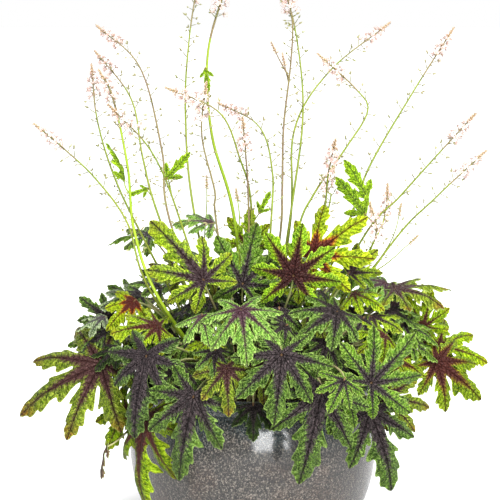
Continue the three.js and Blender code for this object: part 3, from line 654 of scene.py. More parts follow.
def blade_pattern(kind, seed, size):
    """The flat blade, its long lobe along +u with length 1: its points, its triangles with the lobe that
    each is in, and the points along its edge."""
    lobes = lobes_of(kind, seed)
    step = LEAF_STEP / size

    def seam(turn, radius):
        count = max(1, round(radius / step))
        end = Vector((math.cos(turn), math.sin(turn))) * radius
        return [end * (k / count) for k in range(count + 1)]

    base = seam(math.pi, max(BASE_SHARE, BASE_LEAST / size))
    pairs = zip(lobes, lobes[1:])
    notches = [seam((a.turn + b.turn) / 2, SINUS * (a.length + b.length) / 2) for a, b in pairs]
    seams = [base, *notches, base]
    places, points, faces, owners, edge = {}, [], [], [], []

    def index(p):
        key = (round(p.x, 6), round(p.y, 6))
        if key not in places:
            places[key] = len(points)
            points.append((p.x, p.y))
        return places[key]

    for i, lobe in enumerate(lobes):
        made, triangles, rim = fill_lobe(lobe, seams[i], seams[i + 1], step)
        edge += rim
        for triangle in triangles:
            a, b, d = (made[k] for k in triangle)
            leftward = (b - a).cross(d - a) > 0
            faces.append([index(p) for p in ((a, b, d) if leftward else (a, d, b))])
            owners.append(i)
    edge = np.array([(p.x, p.y) for p in edge])
    return np.array(points), np.array(faces), np.array(owners), edge, lobes


def relief(points, lobes):
    """How high each point of the flat blade stands, as a share of its size."""
    u, v = points.T
    angle, radius = np.arctan2(v, u), np.hypot(u, v)
    turns = np.array([lobe.turn for lobe in lobes])
    near = np.abs(angle[:, None] - turns).argmin(axis=1)
    ends = np.array([-math.pi, *turns, math.pi])
    lifts = np.array([0, *[lobe.lift for lobe in lobes], 0])
    after = np.clip(np.searchsorted(ends, angle), 1, len(ends) - 1)
    share = smooth(0.25, 0.75, (angle - ends[after - 1]) / (ends[after] - ends[after - 1]))
    lift = lifts[after - 1] * (1 - share) + lifts[after] * share
    length = np.array([lobe.length for lobe in lobes])[near]
    off = angle - turns[near]
    t, a = radius * np.cos(off) / length, radius * np.sin(off) / length
    aside = np.abs(a)
    draws = np.array([[draw(lobe.seed + 5 + k) for k in range(4)] for lobe in lobes])[near]
    free = smooth(*FREE_LOBE, t)
    vein = np.abs(np.sin(np.pi * (t - VEIN_SLOPE * aside) / VEIN_SPACING))
    groove = GROOVE * (1 - np.exp(-aside / GROOVE_WIDTH)) + QUILT * vein * smooth(0.01, 0.05, aside)
    phase = 2 * np.pi * (draws[:, 0] + 0.5 * (a > 0))
    wave = WAVE * np.sin(2 * np.pi * (WAVES + draws[:, 1]) * t + phase) * aside / HALF_LOBE
    twist = TWIST * (2 * draws[:, 2] - 1) * a * t
    curl = -CURL * (0.2 + draws[:, 3]) * smooth(*CURL_ZONE, t) * (radius > 0.3)
    hang = -HANG * np.maximum(aside - HANG_FROM, 0)
    return radius**2 * (lift - DROOP) + length * (groove + free * (wave + twist + hang) + curl)


def side_wall(faces, count):
    """The triangles that join the upper sheet's border to the lower one's, whose points come after."""
    directed = {(a, b) for face in faces.tolist() for a, b in zip(face, face[1:] + face[:1])}
    border = [(a, b) for a, b in directed if (b, a) not in directed]
    return [t for a, b in sorted(border) for t in ((b, a, a + count), (b, a + count, b + count))]


def kind_of(size):
    """The kind of blade that a size calls for."""
    if size > SLENDER_FROM:
        return "slender"
    return "small" if size < SMALL_BELOW else "even"


def blade(build, leaf, seed):
    """Adds a blade in its place: a thin sheet with an upper and a lower face. Returns its middle and the
    directions along it and out of its upper face."""
    at = Vector(leaf.at)
    chord = Vector(leaf.tip) - at
    size = chord.length / math.hypot(1, DROOP)
    along = chord.normalized()
    up = facing(*leaf.face)
    up = (up - along * up.dot(along)).normalized()
    across = up.cross(along)
    tilt = math.atan(DROOP)
    along, up = along * math.cos(tilt) + up * math.sin(tilt), up * math.cos(tilt) - along * math.sin(tilt)
    kind = leaf.kind or kind_of(size)
    points, faces, owners, edge, lobes = blade_pattern(kind, seed, size)
    height = relief(points, lobes)
    to_edge = np.sqrt(((points[:, None] - edge[None]) ** 2).sum(axis=2).min(axis=1)) * size
    local = np.column_stack([points, height]) * size
    upper = np.array(at) + local @ np.array([along, across, up])
    lower = upper - LEAF_THICKNESS * np.array(up)
    turns = np.array([lobe.turn for lobe in lobes])[owners][:, None]
    lengths = np.array([lobe.length for lobe in lobes])[owners][:, None]
    u, v = points[faces].transpose(2, 0, 1)
    share = (u * np.cos(turns) + v * np.sin(turns)) / lengths
    aside = np.abs(v * np.cos(turns) - u * np.sin(turns)) / lengths
    lobe = np.stack([share, aside, to_edge[faces]], axis=2)
    flat = np.stack([u * size, v * size, np.full(u.shape, LEAF_OFFSET * draw(seed + 7))], axis=2)
    count, flip = len(points), [0, 2, 1]
    build.add(upper, faces, "leaf_" + leaf.tint, lobe, flat)
    build.add(lower, faces[:, flip], "leaf_under", lobe[:, flip], flat[:, flip])
    build.add(np.concatenate([upper, lower]), side_wall(faces, count), "leaf_edge")
    return at, along, up


def soil_height(radius):
    """How high the soil stands at a distance from the axis, without its lumps."""
    return SOIL_EDGE + SOIL_CROWN * (1 - (radius / RIM_INNER_RADIUS) ** 2)


def root_of(at):
    """Where a petiole leaves the soil: nearer the rim the lower its leaf hangs."""
    reach = math.hypot(at[0], at[1])
    steepness = math.degrees(math.atan2(at[2] - SOIL_EDGE, reach))
    radius = min(max(ROOT_REACH - ROOT_PER_DEGREE * steepness, ROOT_NEAREST), ROOT_FARTHEST)
    return Vector((at[0] / reach * radius, at[1] / reach * radius, soil_height(radius)))


def petiole(build, root, at, along, up):
    """Adds the stalk of a leaf, which rises straight from the soil and meets the blade from behind."""
    far = (at - root).length
    rise = root + Vector((0, 0, max(PETIOLE_RISE * far, RIM_CLEARANCE)))
    bend = at - (along * PETIOLE_BEHIND + up * PETIOLE_BELOW) * (PETIOLE_REACH * far)
    end = at - up * PETIOLE_GAP
    row = [root - Vector((0, 0, ROOT_DEPTH))]
    for k in range(PETIOLE_STEPS + 1):
        t = k / PETIOLE_STEPS
        row.append((1 - t) ** 3 * root + 3 * (1 - t) ** 2 * t * rise + 3 * (1 - t) * t**2 * bend + t**3 * end)
    last = len(row) - 1
    ends = [PETIOLE_RADIUS, 0.85 * PETIOLE_RADIUS, PETIOLE_END_RADIUS]
    build.add(*tube(row, np.interp(range(last + 1), [0, last - 3, last], ends), PETIOLE_SIDES), "petiole")


def back_tuft(k):
    """The leaves of the tuft with a given place in the row at the back."""
    way = 1 if k % 2 == 1 else -1
    leaves = []
    for number, tier in enumerate(BACK_TIERS):
        seed = BACK_SEED + 50 * k + 10 * number
        turn = BACK_FROM + (BACK_TO - BACK_FROM) * (k + tier.shift) / (BACK_TUFTS - 1)
        turn += BACK_TURN_SPREAD * spread(seed)
        reach = tier.reach + way * tier.stagger[0] + BACK_SPREAD * spread(seed + 1)
        height = tier.height + way * tier.stagger[1] + BACK_SPREAD * spread(seed + 2)
        x, y = math.cos(math.radians(turn)), math.sin(math.radians(turn))
        out = reach + tier.out
        tip = (out * x, out * y, height + tier.up)
        tint = BACK_TINTS[(3 * k + 2 * number) % len(BACK_TINTS)]
        leaves.append(Leaf((reach * x, reach * y, height), tip, (turn + 90, tier.look), tint))
    return leaves


def inner_leaf(k):
    """The leaf with a given number inside the clump."""
    share = (k + 0.5) / INNER_LEAVES
    seed = INNER_SEED + 10 * k
    turn = GOLDEN_TURN * k
    reach = between(INNER_REACH, share) + INNER_REACH_SPREAD * spread(seed)
    height = between(INNER_HEIGHT, share) + INNER_HEIGHT_SPREAD * spread(seed + 1)
    size = between(INNER_SIZE, draw(seed + 2))
    x, y = math.sin(turn), -math.cos(turn)
    out = reach + INNER_OUT * size
    fall = INNER_FALL + INNER_FALL_SPREAD * spread(seed + 3)
    face = (math.degrees(turn) % 360, INNER_LOOK)
    tint = INNER_TINTS[k % len(INNER_TINTS)]
    return Leaf((reach * x, reach * y, height), (out * x, out * y, height - fall * size), face, tint)


def hidden_leaves(name, tufts):
    """The inner leaves and the leaves between others that a tuft carries, each with its seed."""
    row = []
    if name in tufts:
        own = range(tufts.index(name), INNER_LEAVES, len(tufts))
        row = [(INNER_SEED + SEED_STEP * k, inner_leaf(k)) for k in own]
    for k, (tuft, leaf) in enumerate(BETWEEN_LEAVES):
        if tuft == name:
            row.append((BETWEEN_SEED + SEED_STEP * k, leaf))
    return row


def leaf_pieces():
    """A piece for each leaf or tuft of leaves."""
    groups = dict(LEAVES)
    for k in range(BACK_TUFTS):
        groups[f"leaves_back_{k + 1}"] = back_tuft(k)
    tufts = [name for name, leaves in groups.items() if len(leaves) > 1]
    number, pieces = 0, {}
    for name, leaves in groups.items():
        build = Build()
        root = root_of([sum(leaf.at[k] for leaf in leaves) / len(leaves) for k in range(3)])
        way = math.atan2(root.y, root.x)
        aside = Vector((-math.sin(way), math.cos(way), 0))
        order = sorted(leaves, key=lambda leaf: math.sin(math.atan2(leaf.at[1], leaf.at[0]) - way))
        if name in tufts:
            ends = [root + Vector((0, 0, z)) for z in (-ROOT_DEPTH, 0.5 * SHEATH_HEIGHT, SHEATH_HEIGHT)]
            build.add(*tube(ends, [SHEATH_RADIUS, SHEATH_RADIUS, 0.7 * SHEATH_RADIUS], 12), "petiole")
        for leaf in leaves:
            number += 1
            foot = root.copy()
            if name in tufts:
                foot += aside * (SHEATH_SPREAD * (2 * order.index(leaf) / (len(leaves) - 1) - 1))
            petiole(build, foot, *blade(build, leaf, SEED_STEP * number))
        for seed, leaf in hidden_leaves(name, tufts):
            petiole(build, root_of(leaf.at), *blade(build, leaf, seed))
        pieces[name] = build.piece(f"{name}_fine")
    return pieces


# The flower sprays

def spindle(length, radius, rings, sides):
    """A closed, pointed body along +z: rings are its radii at even steps, as shares of the given one."""
    steps = len(rings) + 1
    outline = [(share * radius, length * (i + 1) / steps) for i, share in enumerate(rings)]
    return turned([(0, 0), *outline, (0, length)], sides)


def leaning(points, tilt, turn, lift=0.0):
    """The points tilted from +z by an angle, then turned round z, then lifted."""
    c, s = math.cos(tilt), math.sin(tilt)
    x, y, z = np.asarray(points).T
    x, z = x * c + z * s, z * c - x * s
    c, s = math.cos(turn), math.sin(turn)
    return np.column_stack([x * c - y * s, x * s + y * c, z + lift])


def organ(look, length, radius, rings, sides, tilt=0.0, turn=0.0, lift=0.0, flat=1.0):
    """A spindle of a look, flattened, tilted, turned and lifted."""
    points, faces = spindle(length, radius, rings, sides)
    return leaning(points * (flat, 1, 1), tilt, turn, lift), faces, look


def bud_shape():
    """A closed bud."""
    return [organ("bud", 0.0026, 0.0008, [0.8, 1.0, 0.7], 5)]


def flower_shape():
    """A flower on its stalk: a small cup, five narrow petals and seven long stamens with their anthers."""
    stalk, stamen = 0.0045, 0.0040
    shape = [organ("stalk", stalk, 0.0003, [1.0, 1.0, 0.8], 3)]
    shape.append(organ("bud", 0.0018, 0.0007, [0.8, 1.0], 5, lift=stalk - 0.0006))
    for k in range(5):
        turn = 2 * math.pi * k / 5
        shape.append(organ("petal", 0.0038, 0.0010, [1.0], 4, 1.15, turn, stalk + 0.00066, flat=0.35))
    for k in range(7):
        turn, tilt, lift = 2 * math.pi * (k + 0.5) / 7, 0.45 + 0.2 * (k % 2), stalk + 0.00055
        shape.append(organ("petal", stamen + 0.0002, 0.00013, [1.0, 0.7], 3, tilt, turn, lift))
        anther, faces, look = organ("anther", 0.0007, 0.0003, [1.0], 4)
        shape.append((anther + leaning([(0, 0, stamen)], tilt, turn, lift), faces, look))
    return shape


def capsule_shape():
    """A seed capsule on its stalk: one long and one short valve."""
    stalk = 0.0076
    shape = [organ("stalk", stalk, 0.0004, [1.0, 1.0, 0.8], 3)]
    for length, tilt, turn in ((0.0048, 0.15, 0.0), (0.0032, 0.6, math.pi)):
        shape.append(organ("capsule", length, 0.0008, [1.0], 4, tilt, turn, stalk - 0.0003))
    return shape


def stamp(build, shape, origin, direction, turn, scale):
    """Adds a small shape that stands at the origin along the direction."""
    third = direction.normalized()
    across = (Vector((1, 0, 0)) if abs(third.x) < 0.8 else Vector((0, 1, 0))).cross(third).normalized()
    rows = np.array([across, third.cross(across), third])
    for points, faces, look in shape:
        spun = leaning(points, 0, turn) * scale
        build.add(np.array(origin) + spun @ rows, faces, look)


def outward(along, angle, lean):
    """A direction away from a stem, at an angle round it, leaning towards its tip."""
    across = Vector((1, 0, 0)).cross(along).normalized()
    side = across * math.cos(angle) + along.cross(across) * math.sin(angle)
    return (side + along * lean).normalized()


def raceme(build, points, number, fruiting=CAPSULE_SHARE, young=False):
    """Adds the buds along the upper end of a stem and, below them, its flowers and capsules, which a
    young one doesn't have yet."""
    row = np.array(points)
    reach = reaches(row)
    whole = reach[-1]

    def spot(back):
        place = whole - back
        i = min(max(int(np.searchsorted(reach, place)), 1), len(row) - 1)
        share = (place - reach[i - 1]) / (reach[i] - reach[i - 1])
        return Vector(row[i - 1] + (row[i] - row[i - 1]) * share), Vector(row[i] - row[i - 1]).normalized()

    seed = RACEME_SEED + RACEME_SEED_STEP * number
    for k in range(BUDS):
        share = k / (BUDS - 1)
        p, along = spot(BUD_ZONE * share)
        side = outward(along, GOLDEN_TURN * k, ruled(BUD_LEAN, share))
        size = ruled(BUD_SIZE, share) * (1 + BUD_SIZE_SPREAD * spread(seed + k))
        stamp(build, BUD, p + side * BUD_GAP, side, k, YOUNG_SIZE * size if young else size)
    if young:
        return
    for k in range(FLOWERS):
        share = (k + 0.5) / FLOWERS
        p, along = spot(BUD_ZONE + (FLOWER_ZONE - BUD_ZONE) * share)
        lean = ruled(FLOWER_LEAN, share) + FLOWER_LEAN_SPREAD * spread(seed + 30 + k)
        side = outward(along, GOLDEN_TURN * k + number, lean)
        stamp(build, FLOWER, p, side, 2 * k, ruled(FLOWER_SIZE, share))
    zone = fruiting * whole - FLOWER_ZONE
    count = max(3, round(zone / CAPSULE_SPACING))
    for k in range(count):
        share = ((k + 0.5) / count) ** CAPSULE_THINNING
        p, along = spot(FLOWER_ZONE + zone * share)
        lean = ruled(CAPSULE_LEAN, spread(seed + 100 + k))
        side = outward(along, GOLDEN_TURN * k + 2 * number, lean)
        stamp(build, CAPSULE, p, side, k, ruled(CAPSULE_SIZE, draw(seed + 200 + k)))


def stem_row(start, places):
    """The points of a stem from its start through the given places."""
    return resampled(catmull([start, *[Vector(p) for p in places]], 12), STEM_STEP)


def at_height(points, height):
    """The point of a stem at a given height."""
    i = next(i for i, p in enumerate(points) if p.z > height)
    low, high = points[i - 1], points[i]
    return low.lerp(high, (height - low.z) / (high.z - low.z))


def twig(build, row, look):
    """Adds a thin side stem through a row of points."""
    build.add(*tube(row, np.linspace(*TWIG_RADII, len(row)), STEM_SIDES), look)


def spray_pieces():
    """A piece for each flower spray."""
    pieces = {}
    for number, spray in enumerate(SPRAYS):
        build = Build()
        first = Vector(spray.path[0])
        radius, turn = math.hypot(first.x, first.y) * STEM_BASE_SHARE, math.atan2(first.y, first.x)
        root = Vector((radius * math.cos(turn), radius * math.sin(turn), soil_height(radius)))
        points = [root - Vector((0, 0, ROOT_DEPTH)), *stem_row(root, spray.path)]
        thick = THICK_STEM if spray.stem == "stem_bright" else 1
        radii = thick * np.linspace(STEM_FOOT_RADIUS, STEM_TIP_RADIUS, len(points))
        flush = round((1 - STEM_TOP_SHARE) * len(points))
        build.add(*tube(points[:flush + 1], radii[:flush + 1], STEM_SIDES), spray.stem)
        build.add(*tube(points[flush:], radii[flush:], STEM_SIDES), "stem_top")
        raceme(build, points, number, spray.fruiting)
        for i, (height, leaf) in enumerate(spray.leaves):
            seed = STEM_LEAF_SEED + SEED_STEP * number + 10 * i
            at, _, up = blade(build, leaf._replace(kind="stem"), seed)
            start = at_height(points, height)
            bend = start.lerp(at, 0.5) - up * (TWIG_SAG * (at - start).length)
            twig(build, resampled(catmull([start, bend, at], 4), TWIG_STEP), spray.stem)
        for i, (height, path) in enumerate(spray.shoots):
            row = stem_row(at_height(points, height), path)
            twig(build, row, spray.stem)
            raceme(build, row, number + 31 * (i + 1), young=True)
        name = f"spray_{number + 1:02d}"
        pieces[name] = build.piece(f"{name}_fine", sharp=70)
    return pieces


# The pot and the soil

def belly_at(z):
    """The radius of the pot's belly at a height."""
    return BELLY_RADIUS * math.sqrt(1 - ((z - BELLY_HEIGHT) / BELLY_HALF_HEIGHT) ** 2)


def pot_piece():
    """The pot: a flat foot, a round belly, a groove, a rolled rim and the inside down to the floor."""
    outline = [(0, 0), (FOOT_RADIUS - FOOT_EDGE, 0), (FOOT_RADIUS, FOOT_EDGE)]
    outline += [(belly_at(z), z) for z in np.linspace(FOOT_HEIGHT, GROOVE_HEIGHT - 0.0022, BELLY_RINGS)]
    groove = belly_at(GROOVE_HEIGHT) - GROOVE_DEPTH
    for out, up in ((0.0004, -0.0009), (0, 0.0002), (0.0006, 0.0013)):
        outline.append((groove + out, GROOVE_HEIGHT + up))
    for a in np.radians(np.linspace(RIM_FROM, 180, RIM_STEPS)):
        r, z = RIM_MIDDLE
        outline.append((r + RIM_HALF[0] * math.cos(a), z + RIM_HALF[1] * math.sin(a)))
    outline.append((RIM_INNER_RADIUS, GROOVE_HEIGHT))
    outline += [(belly_at(z) - WALL, z) for z in np.linspace(0.131, 0.03, INSIDE_RINGS)]
    outline += [(belly_at(FLOOR_TOP) - WALL - 0.006, FLOOR_TOP), (0, FLOOR_TOP)]
    build = Build()
    build.add(*turned(outline, POT_SIDES), "glaze")
    return build.piece("pot_fine", sharp=50)


def soil_piece():
    """The soil: a lumpy surface inside the rim with crumbs and bits of bark on it."""
    rng = np.random.default_rng(SOIL_SEED)
    waves = rng.normal(size=(LUMP_WAVES, 2)) * rng.choice(LUMP_SCALES, size=(LUMP_WAVES, 1))
    phases = rng.uniform(0, 2 * math.pi, LUMP_WAVES)
    heights = LUMP_HEIGHT / (30 + np.linalg.norm(waves, axis=1))

    def lump(x, y):
        return float((heights * np.sin(waves @ (x, y) + phases)).sum())

    edge = RIM_INNER_RADIUS - SOIL_GAP
    radii = [edge * (1 - i / SOIL_RINGS) for i in range(SOIL_RINGS)] + [0]
    outline = [*SOIL_BELOW, (edge, 0.136), *[(r, soil_height(r)) for r in radii]]
    points, faces = turned(outline, SOIL_SIDES)
    for point in points:
        x, y, z = point
        if z > SOIL_EDGE - 0.001 and math.hypot(x, y) < edge - 0.001:
            point[2] = z + lump(x, y)
    build = Build()
    build.add(points, faces, "soil")
    ball, ball_faces = spindle(1.0, 0.5, [0.7, 1.0, 0.75], 6)
    for k in range(CRUMBS):
        radius, a = CRUMB_REACH * math.sqrt(draw(k + 0.3)), 2 * math.pi * draw(k + 0.7)
        x, y = radius * math.cos(a), radius * math.sin(a)
        size = ruled(CRUMB_SIZE, draw(k + 0.1) ** 3)
        look, shape = ("bark", BARK_SHAPE) if k % BARK_EVERY == 0 else ("soil", CRUMB_SHAPE)
        crumb = (ball - (0, 0, 0.5)) * shape * size
        crumb = leaning(crumb, 1.2 + 0.5 * draw(k + 0.5), 6.28 * draw(k + 0.9))
        height = soil_height(radius) + lump(x, y) + 0.2 * size
        build.add(crumb + (x, y, height), ball_faces, look)
    return build.piece("soil_fine", sharp=40)


# Materials

class Value:
    """An output of a node, which formulas can be written with."""

    def __init__(self, nodes, socket):
        self.nodes, self.socket = nodes, socket

    def __add__(self, other):
        return self.nodes.math("ADD", self, other)

    def __sub__(self, other):
        return self.nodes.math("SUBTRACT", self, other)

    def __rsub__(self, other):
        return self.nodes.math("SUBTRACT", other, self)

    def __mul__(self, other):
        return self.nodes.math("MULTIPLY", self, other)

    def __truediv__(self, other):
        return self.nodes.math("DIVIDE", self, other)


class Nodes:
    """Writes a material's pattern as formulas: each call adds a node and gives its output. A colour is
    given by its three tones, or as a linear colour with its four numbers."""

    def __init__(self, name):
        self.material = bpy.data.materials.new(name)
        self.material.use_nodes = True
        self.tree = self.material.node_tree
        self.shader = self.tree.nodes["Principled BSDF"]

    def put(self, socket, value):
        """Fills an input with another node's output, a colour or a number."""
        if isinstance(value, Value):
            self.tree.links.new(value.socket, socket)
        elif isinstance(value, tuple) and len(value) == 3:
            socket.default_value = srgb(*value)
        else:
            socket.default_value = value

    def set(self, **values):
        for key, value in values.items():
            self.put(self.shader.inputs[key.replace("_", " ")], value)

    def add(self, kind, inputs, output=0, **options):
        """Adds a node of a kind, with its inputs by their names or numbers."""
        node = self.tree.nodes.new(kind)
        for key, value in options.items():
            setattr(node, key, value)
        for key, value in inputs.items():
            self.put(node.inputs[key], value)
        return Value(self, node.outputs[output])

    def math(self, operation, *values, clamp=False):
        return self.add("ShaderNodeMath", dict(enumerate(values)), operation=operation, use_clamp=clamp)

    def ramp(self, value, low, high, start=0.0, end=1.0):
        """Goes smoothly from start, where the value is low, to end, where it is high."""
        given = dict(enumerate((value, low, high, start, end)))
        return self.add("ShaderNodeMapRange", given, interpolation_type="SMOOTHSTEP")

    def mix(self, share, one, other, blend="MIX"):
        given = {0: share, 6: one, 7: other}
        return self.add("ShaderNodeMix", given, 2, data_type="RGBA", blend_type=blend)

    def noise(self, vector, scale, detail=2.0, roughness=0.5):
        given = {"Vector": vector, "Scale": scale, "Detail": detail, "Roughness": roughness}
        return self.add("ShaderNodeTexNoise", given, "Fac")

    def cells(self, vector, scale, output, feature="F1"):
        return self.add("ShaderNodeTexVoronoi", {"Vector": vector, "Scale": scale}, output, feature=feature)

    def attribute(self, name):
        return self.add("ShaderNodeAttribute", {}, "Vector", attribute_name=name)

    def place(self):
        return self.add("ShaderNodeTexCoord", {}, "Object")

    def parts(self, vector):
        first = self.add("ShaderNodeSeparateXYZ", {0: vector})
        return [Value(self, socket) for socket in first.socket.node.outputs]

    def point(self, x, y, z):
        return self.add("ShaderNodeCombineXYZ", {0: x, 1: y, 2: z})

    def bump(self, height, strength, distance):
        given = {"Height": height, "Strength": strength, "Distance": distance}
        self.set(Normal=self.add("ShaderNodeBump", given))


# What a blade is coloured with, in tones: its green, its pale net and edge, the dark band along its ribs
# with how wide it is and how far it reaches as shares of the lobe, its tips, and the sheen of the dark
# band, a painted highlight, which is a warm one, given first, on four of them.
WARM_PAINTED_SHEEN = (104, 62, 52)
Tint = namedtuple("Tint", "green edge band width reach tip sheen", defaults=[(108, 94, 96)])
TINTS = {
    "dark": Tint((82, 118, 30), (148, 180, 88), (22, 17, 17), 0.105, 0.95, (98, 130, 34)),
    "purple": Tint((78, 108, 34), (136, 166, 86), (23, 18, 21), 0.150, 1.1, (90, 126, 38)),
    "green": Tint((108, 156, 28), (158, 188, 86), (24, 19, 19), 0.050, 0.95, (116, 148, 34)),
    "sunny": Tint((168, 204, 20), (192, 214, 70), (46, 26, 28), 0.070, 0.9, (152, 148, 38)),
    "olive": Tint((134, 160, 26), (170, 184, 70), (54, 28, 26), 0.078, 0.9, (146, 88, 34), (112, 80, 76)),
    # Partly the lime colour of these blades and partly the glow of light shining through them, painted into
    # the colour.
    "lime": Tint((166, 210, 6), (188, 210, 50), (84, 44, 34), 0.055, 0.7, (176, 168, 26), WARM_PAINTED_SHEEN),
    "ruddy": Tint((162, 202, 8), (186, 206, 52), (76, 36, 32), 0.085, 0.85, (170, 168, 30), WARM_PAINTED_SHEEN),
    "yellow": Tint((190, 220, 6), (206, 224, 56), (92, 34, 24), 0.150, 0.5, (190, 206, 26), WARM_PAINTED_SHEEN),
    "red": Tint((126, 160, 12), (172, 194, 46), (60, 22, 18), 0.115, 0.8, (146, 164, 26), WARM_PAINTED_SHEEN),
    "star": Tint((146, 204, 14), (184, 220, 64), (42, 17, 16), 0.110, 0.85, (134, 160, 26), (92, 50, 44)),
    "pale": Tint((142, 198, 70), (176, 206, 112), (80, 48, 58), 0.060, 0.8, (140, 178, 60)),
    "silver": Tint((146, 172, 114), (200, 214, 172), (72, 66, 72), 0.055, 0.9, (156, 176, 104)),
    "bright": Tint((164, 214, 12), (186, 222, 56), (124, 164, 26), 0.012, 0.8, (178, 212, 36)),
    # A darker copy of the green tints: painted shade for the leaves inside the clump.
    "deep": Tint((36, 56, 14), (62, 84, 32), (20, 15, 17), 0.080, 0.95, (70, 88, 22)),
    "dried": Tint((132, 104, 78), (160, 132, 104), (98, 70, 50), 0.060, 0.95, (120, 92, 66)),
}
LEAF_MIDDLE = (158, 122, 84)

# What the darker tone of a blade is multiplied by, which gives its mottles and also painted shade beside the
# side veins and in fine specks, and what the dark grain of the glaze is multiplied by.
LEAF_MOTTLE_AND_SHADE = (0.16, 0.23, 0.17, 1)
GLAZE_DARK_GRAIN = (0.06, 0.06, 0.07, 1)

# The tints whose tips are well coloured, and those with a warm flush beside the dark band and how strong
# it is.
STRONG_TIPS = {"olive", "lime", "yellow", "red", "ruddy", "sunny"}
FLUSHED = {"star": ((150, 62, 24), 0.4), "red": ((150, 60, 24), 0.5), "yellow": ((216, 96, 16), 0.85)}

# The two tones of each stem and small part, of the soil and of the bark on it.
STALKS = {
    "leaf_edge": ((130, 160, 84), (146, 170, 96)),
    "petiole": ((150, 168, 96), (176, 160, 118)),
    "stem_green": ((112, 134, 28), (140, 150, 50)),
    "stem_bright": ((132, 166, 18), (156, 178, 44)),
    "stem_red": ((128, 104, 84), (134, 126, 76)),
    "stem_top": ((122, 122, 64), (142, 122, 86)),
    "stalk": ((106, 114, 48), (124, 118, 68)),
    # The pale pink of the petals and stamens is darkened a little: partly their own tone and partly painted
    # shade, so that they show against the white.
    "petal": ((236, 214, 208), (224, 192, 182)),
    "bud": ((214, 188, 162), (178, 150, 120)),
    "anther": ((214, 160, 118), (196, 140, 106)),
    "capsule": ((140, 146, 88), (166, 156, 116)),
}
SOILS = {"soil": ((34, 25, 19), (78, 60, 46)), "bark": ((70, 48, 32), (120, 88, 60))}


def leaf_material(name, tint):
    """A quilted blade: mottled dark bands feather out along the ribs, with a painted sheen in their lighter
    streaks, a pale net lies between the side veins, and a pale line runs round the edge. Painted shade lies
    beside the side veins, and fine specks of painted shade and painted glints cover the green."""
    n = Nodes(f"leaf_{name}")
    flat = n.attribute("flat")
    share, aside, to_edge = n.parts(n.attribute("lobe"))
    blotch = n.noise(flat, 220, 3.0, 0.6)
    fine = n.noise(flat, 720, 3.0, 0.7)
    own = n.parts(flat)[2] * 400.0
    streak = n.noise(n.point(share * 14.0, aside * 55.0, own), 1.0)
    net = n.cells(flat, 430, "Distance", "DISTANCE_TO_EDGE") + (fine - 0.5) * 0.14
    line = n.ramp(net, 0.02, 0.16, 1.0, 0.0)
    wavy = (share - aside * VEIN_SLOPE) / VEIN_SPACING + blotch * 1.8
    vein = n.ramp(n.math("ABSOLUTE", n.math("FRACT", wavy) - 0.5), 0.28, 0.5)

    # How far inside the dark band a spot lies: the band narrows towards the tip and feathers along veins
    narrowing = n.math("SUBTRACT", 1.1, share / tint.reach, clamp=True)
    taper = n.math("POWER", narrowing, 2.0) * 1.5 + narrowing * 0.15
    width = taper * tint.width * (vein * 0.35 + blotch * 1.3 + 0.2)
    inner = width - aside + (fine + streak - 1.0) * 0.07
    band = n.ramp(inner, -0.040, 0.026)

    # The darker tone of the green. In blotches it is the blade's own mottling; beside the side veins, where
    # the quilted blade dips, it is painted shade.
    mottle_and_shade = n.mix(1.0, tint.green, LEAF_MOTTLE_AND_SHADE, "MULTIPLY")
    green = n.mix(n.ramp(blotch, 0.34, 0.66), mottle_and_shade, tint.green)
    # Painted shade in the grooves beside the side veins.
    green = n.mix(vein * n.ramp(blotch, 0.35, 0.62, 0.7, 0.1), green, mottle_and_shade)
    green = n.mix(line * 0.42, green, tint.edge)
    # Fine specks: the dark ones are painted shade and the light ones painted glints of the blade's fine
    # relief catching the light.
    green = n.mix(n.ramp(fine, 0.50, 0.64, 0.0, 0.75), green, mottle_and_shade)
    green = n.mix(n.ramp(fine, 0.36, 0.48, 0.65, 0.0), green, tint.edge)
    tip = n.ramp(share, 0.72, 1.0) * (0.85 if name in STRONG_TIPS else 0.35)
    green = n.mix(tip * n.ramp(blotch, 0.35, 0.6, 0.3, 1.0), green, tint.tip)
    green = n.mix(n.ramp(to_edge, 0.0002, 0.0010, 0.75, 0.0), green, tint.edge)
    if name in FLUSHED:
        flush, strength = FLUSHED[name]
        spreading = n.ramp(inner, -0.065, 0.005, 0.0, strength)
        green = n.mix(spreading * n.ramp(narrowing, 0.0, 0.4), green, flush)
    # Lighter streaks in the dark band, half in the tone of the sheen, and its net lines in the sheen: a
    # painted highlight on the band.
    mottle = n.ramp(streak, 0.42, 0.60) * n.ramp(fine, 0.42, 0.58, 0.15, 1.0)
    dark = n.mix(mottle, tint.band, n.mix(0.5, tint.band, tint.sheen))
    dark = n.mix(line * 0.35, dark, tint.sheen)
    colour = n.mix(band, green, dark)
    colour = n.mix(n.ramp(aside, 0.003, 0.010, 0.5, 0.0), colour, tint.band)
    colour = n.mix(n.ramp(share, 0.010, 0.032, 0.7, 0.0), colour, LEAF_MIDDLE)

    height = (1.0 - vein) * 0.8 + fine * 0.3 + line * -0.4 + blotch * 0.8
    n.bump(height + n.ramp(aside, 0.0, 0.014, 0.0, 0.9), 1.0, 0.0027)
    n.set(Base_Color=colour, Roughness=n.ramp(fine, 0.3, 0.7, 0.34, 0.55), Specular_IOR_Level=0.2)
    return n.material


def under_material():
    """The paler lower face of the leaves, with the ribs standing out."""
    n = Nodes("leaf_under")
    _, aside, _ = n.parts(n.attribute("lobe"))
    fine = n.noise(n.attribute("flat"), 900, 3.0, 0.6)
    green = n.mix(n.ramp(fine, 0.3, 0.7), (112, 138, 78), (140, 160, 104))
    rib = n.ramp(aside, 0.004, 0.012, 0.8, 0.0)
    n.bump(fine + rib * 1.2, 0.5, 0.0006)
    n.set(Base_Color=n.mix(rib, green, (150, 128, 104)), Roughness=0.65, Specular_IOR_Level=0.3)
    return n.material


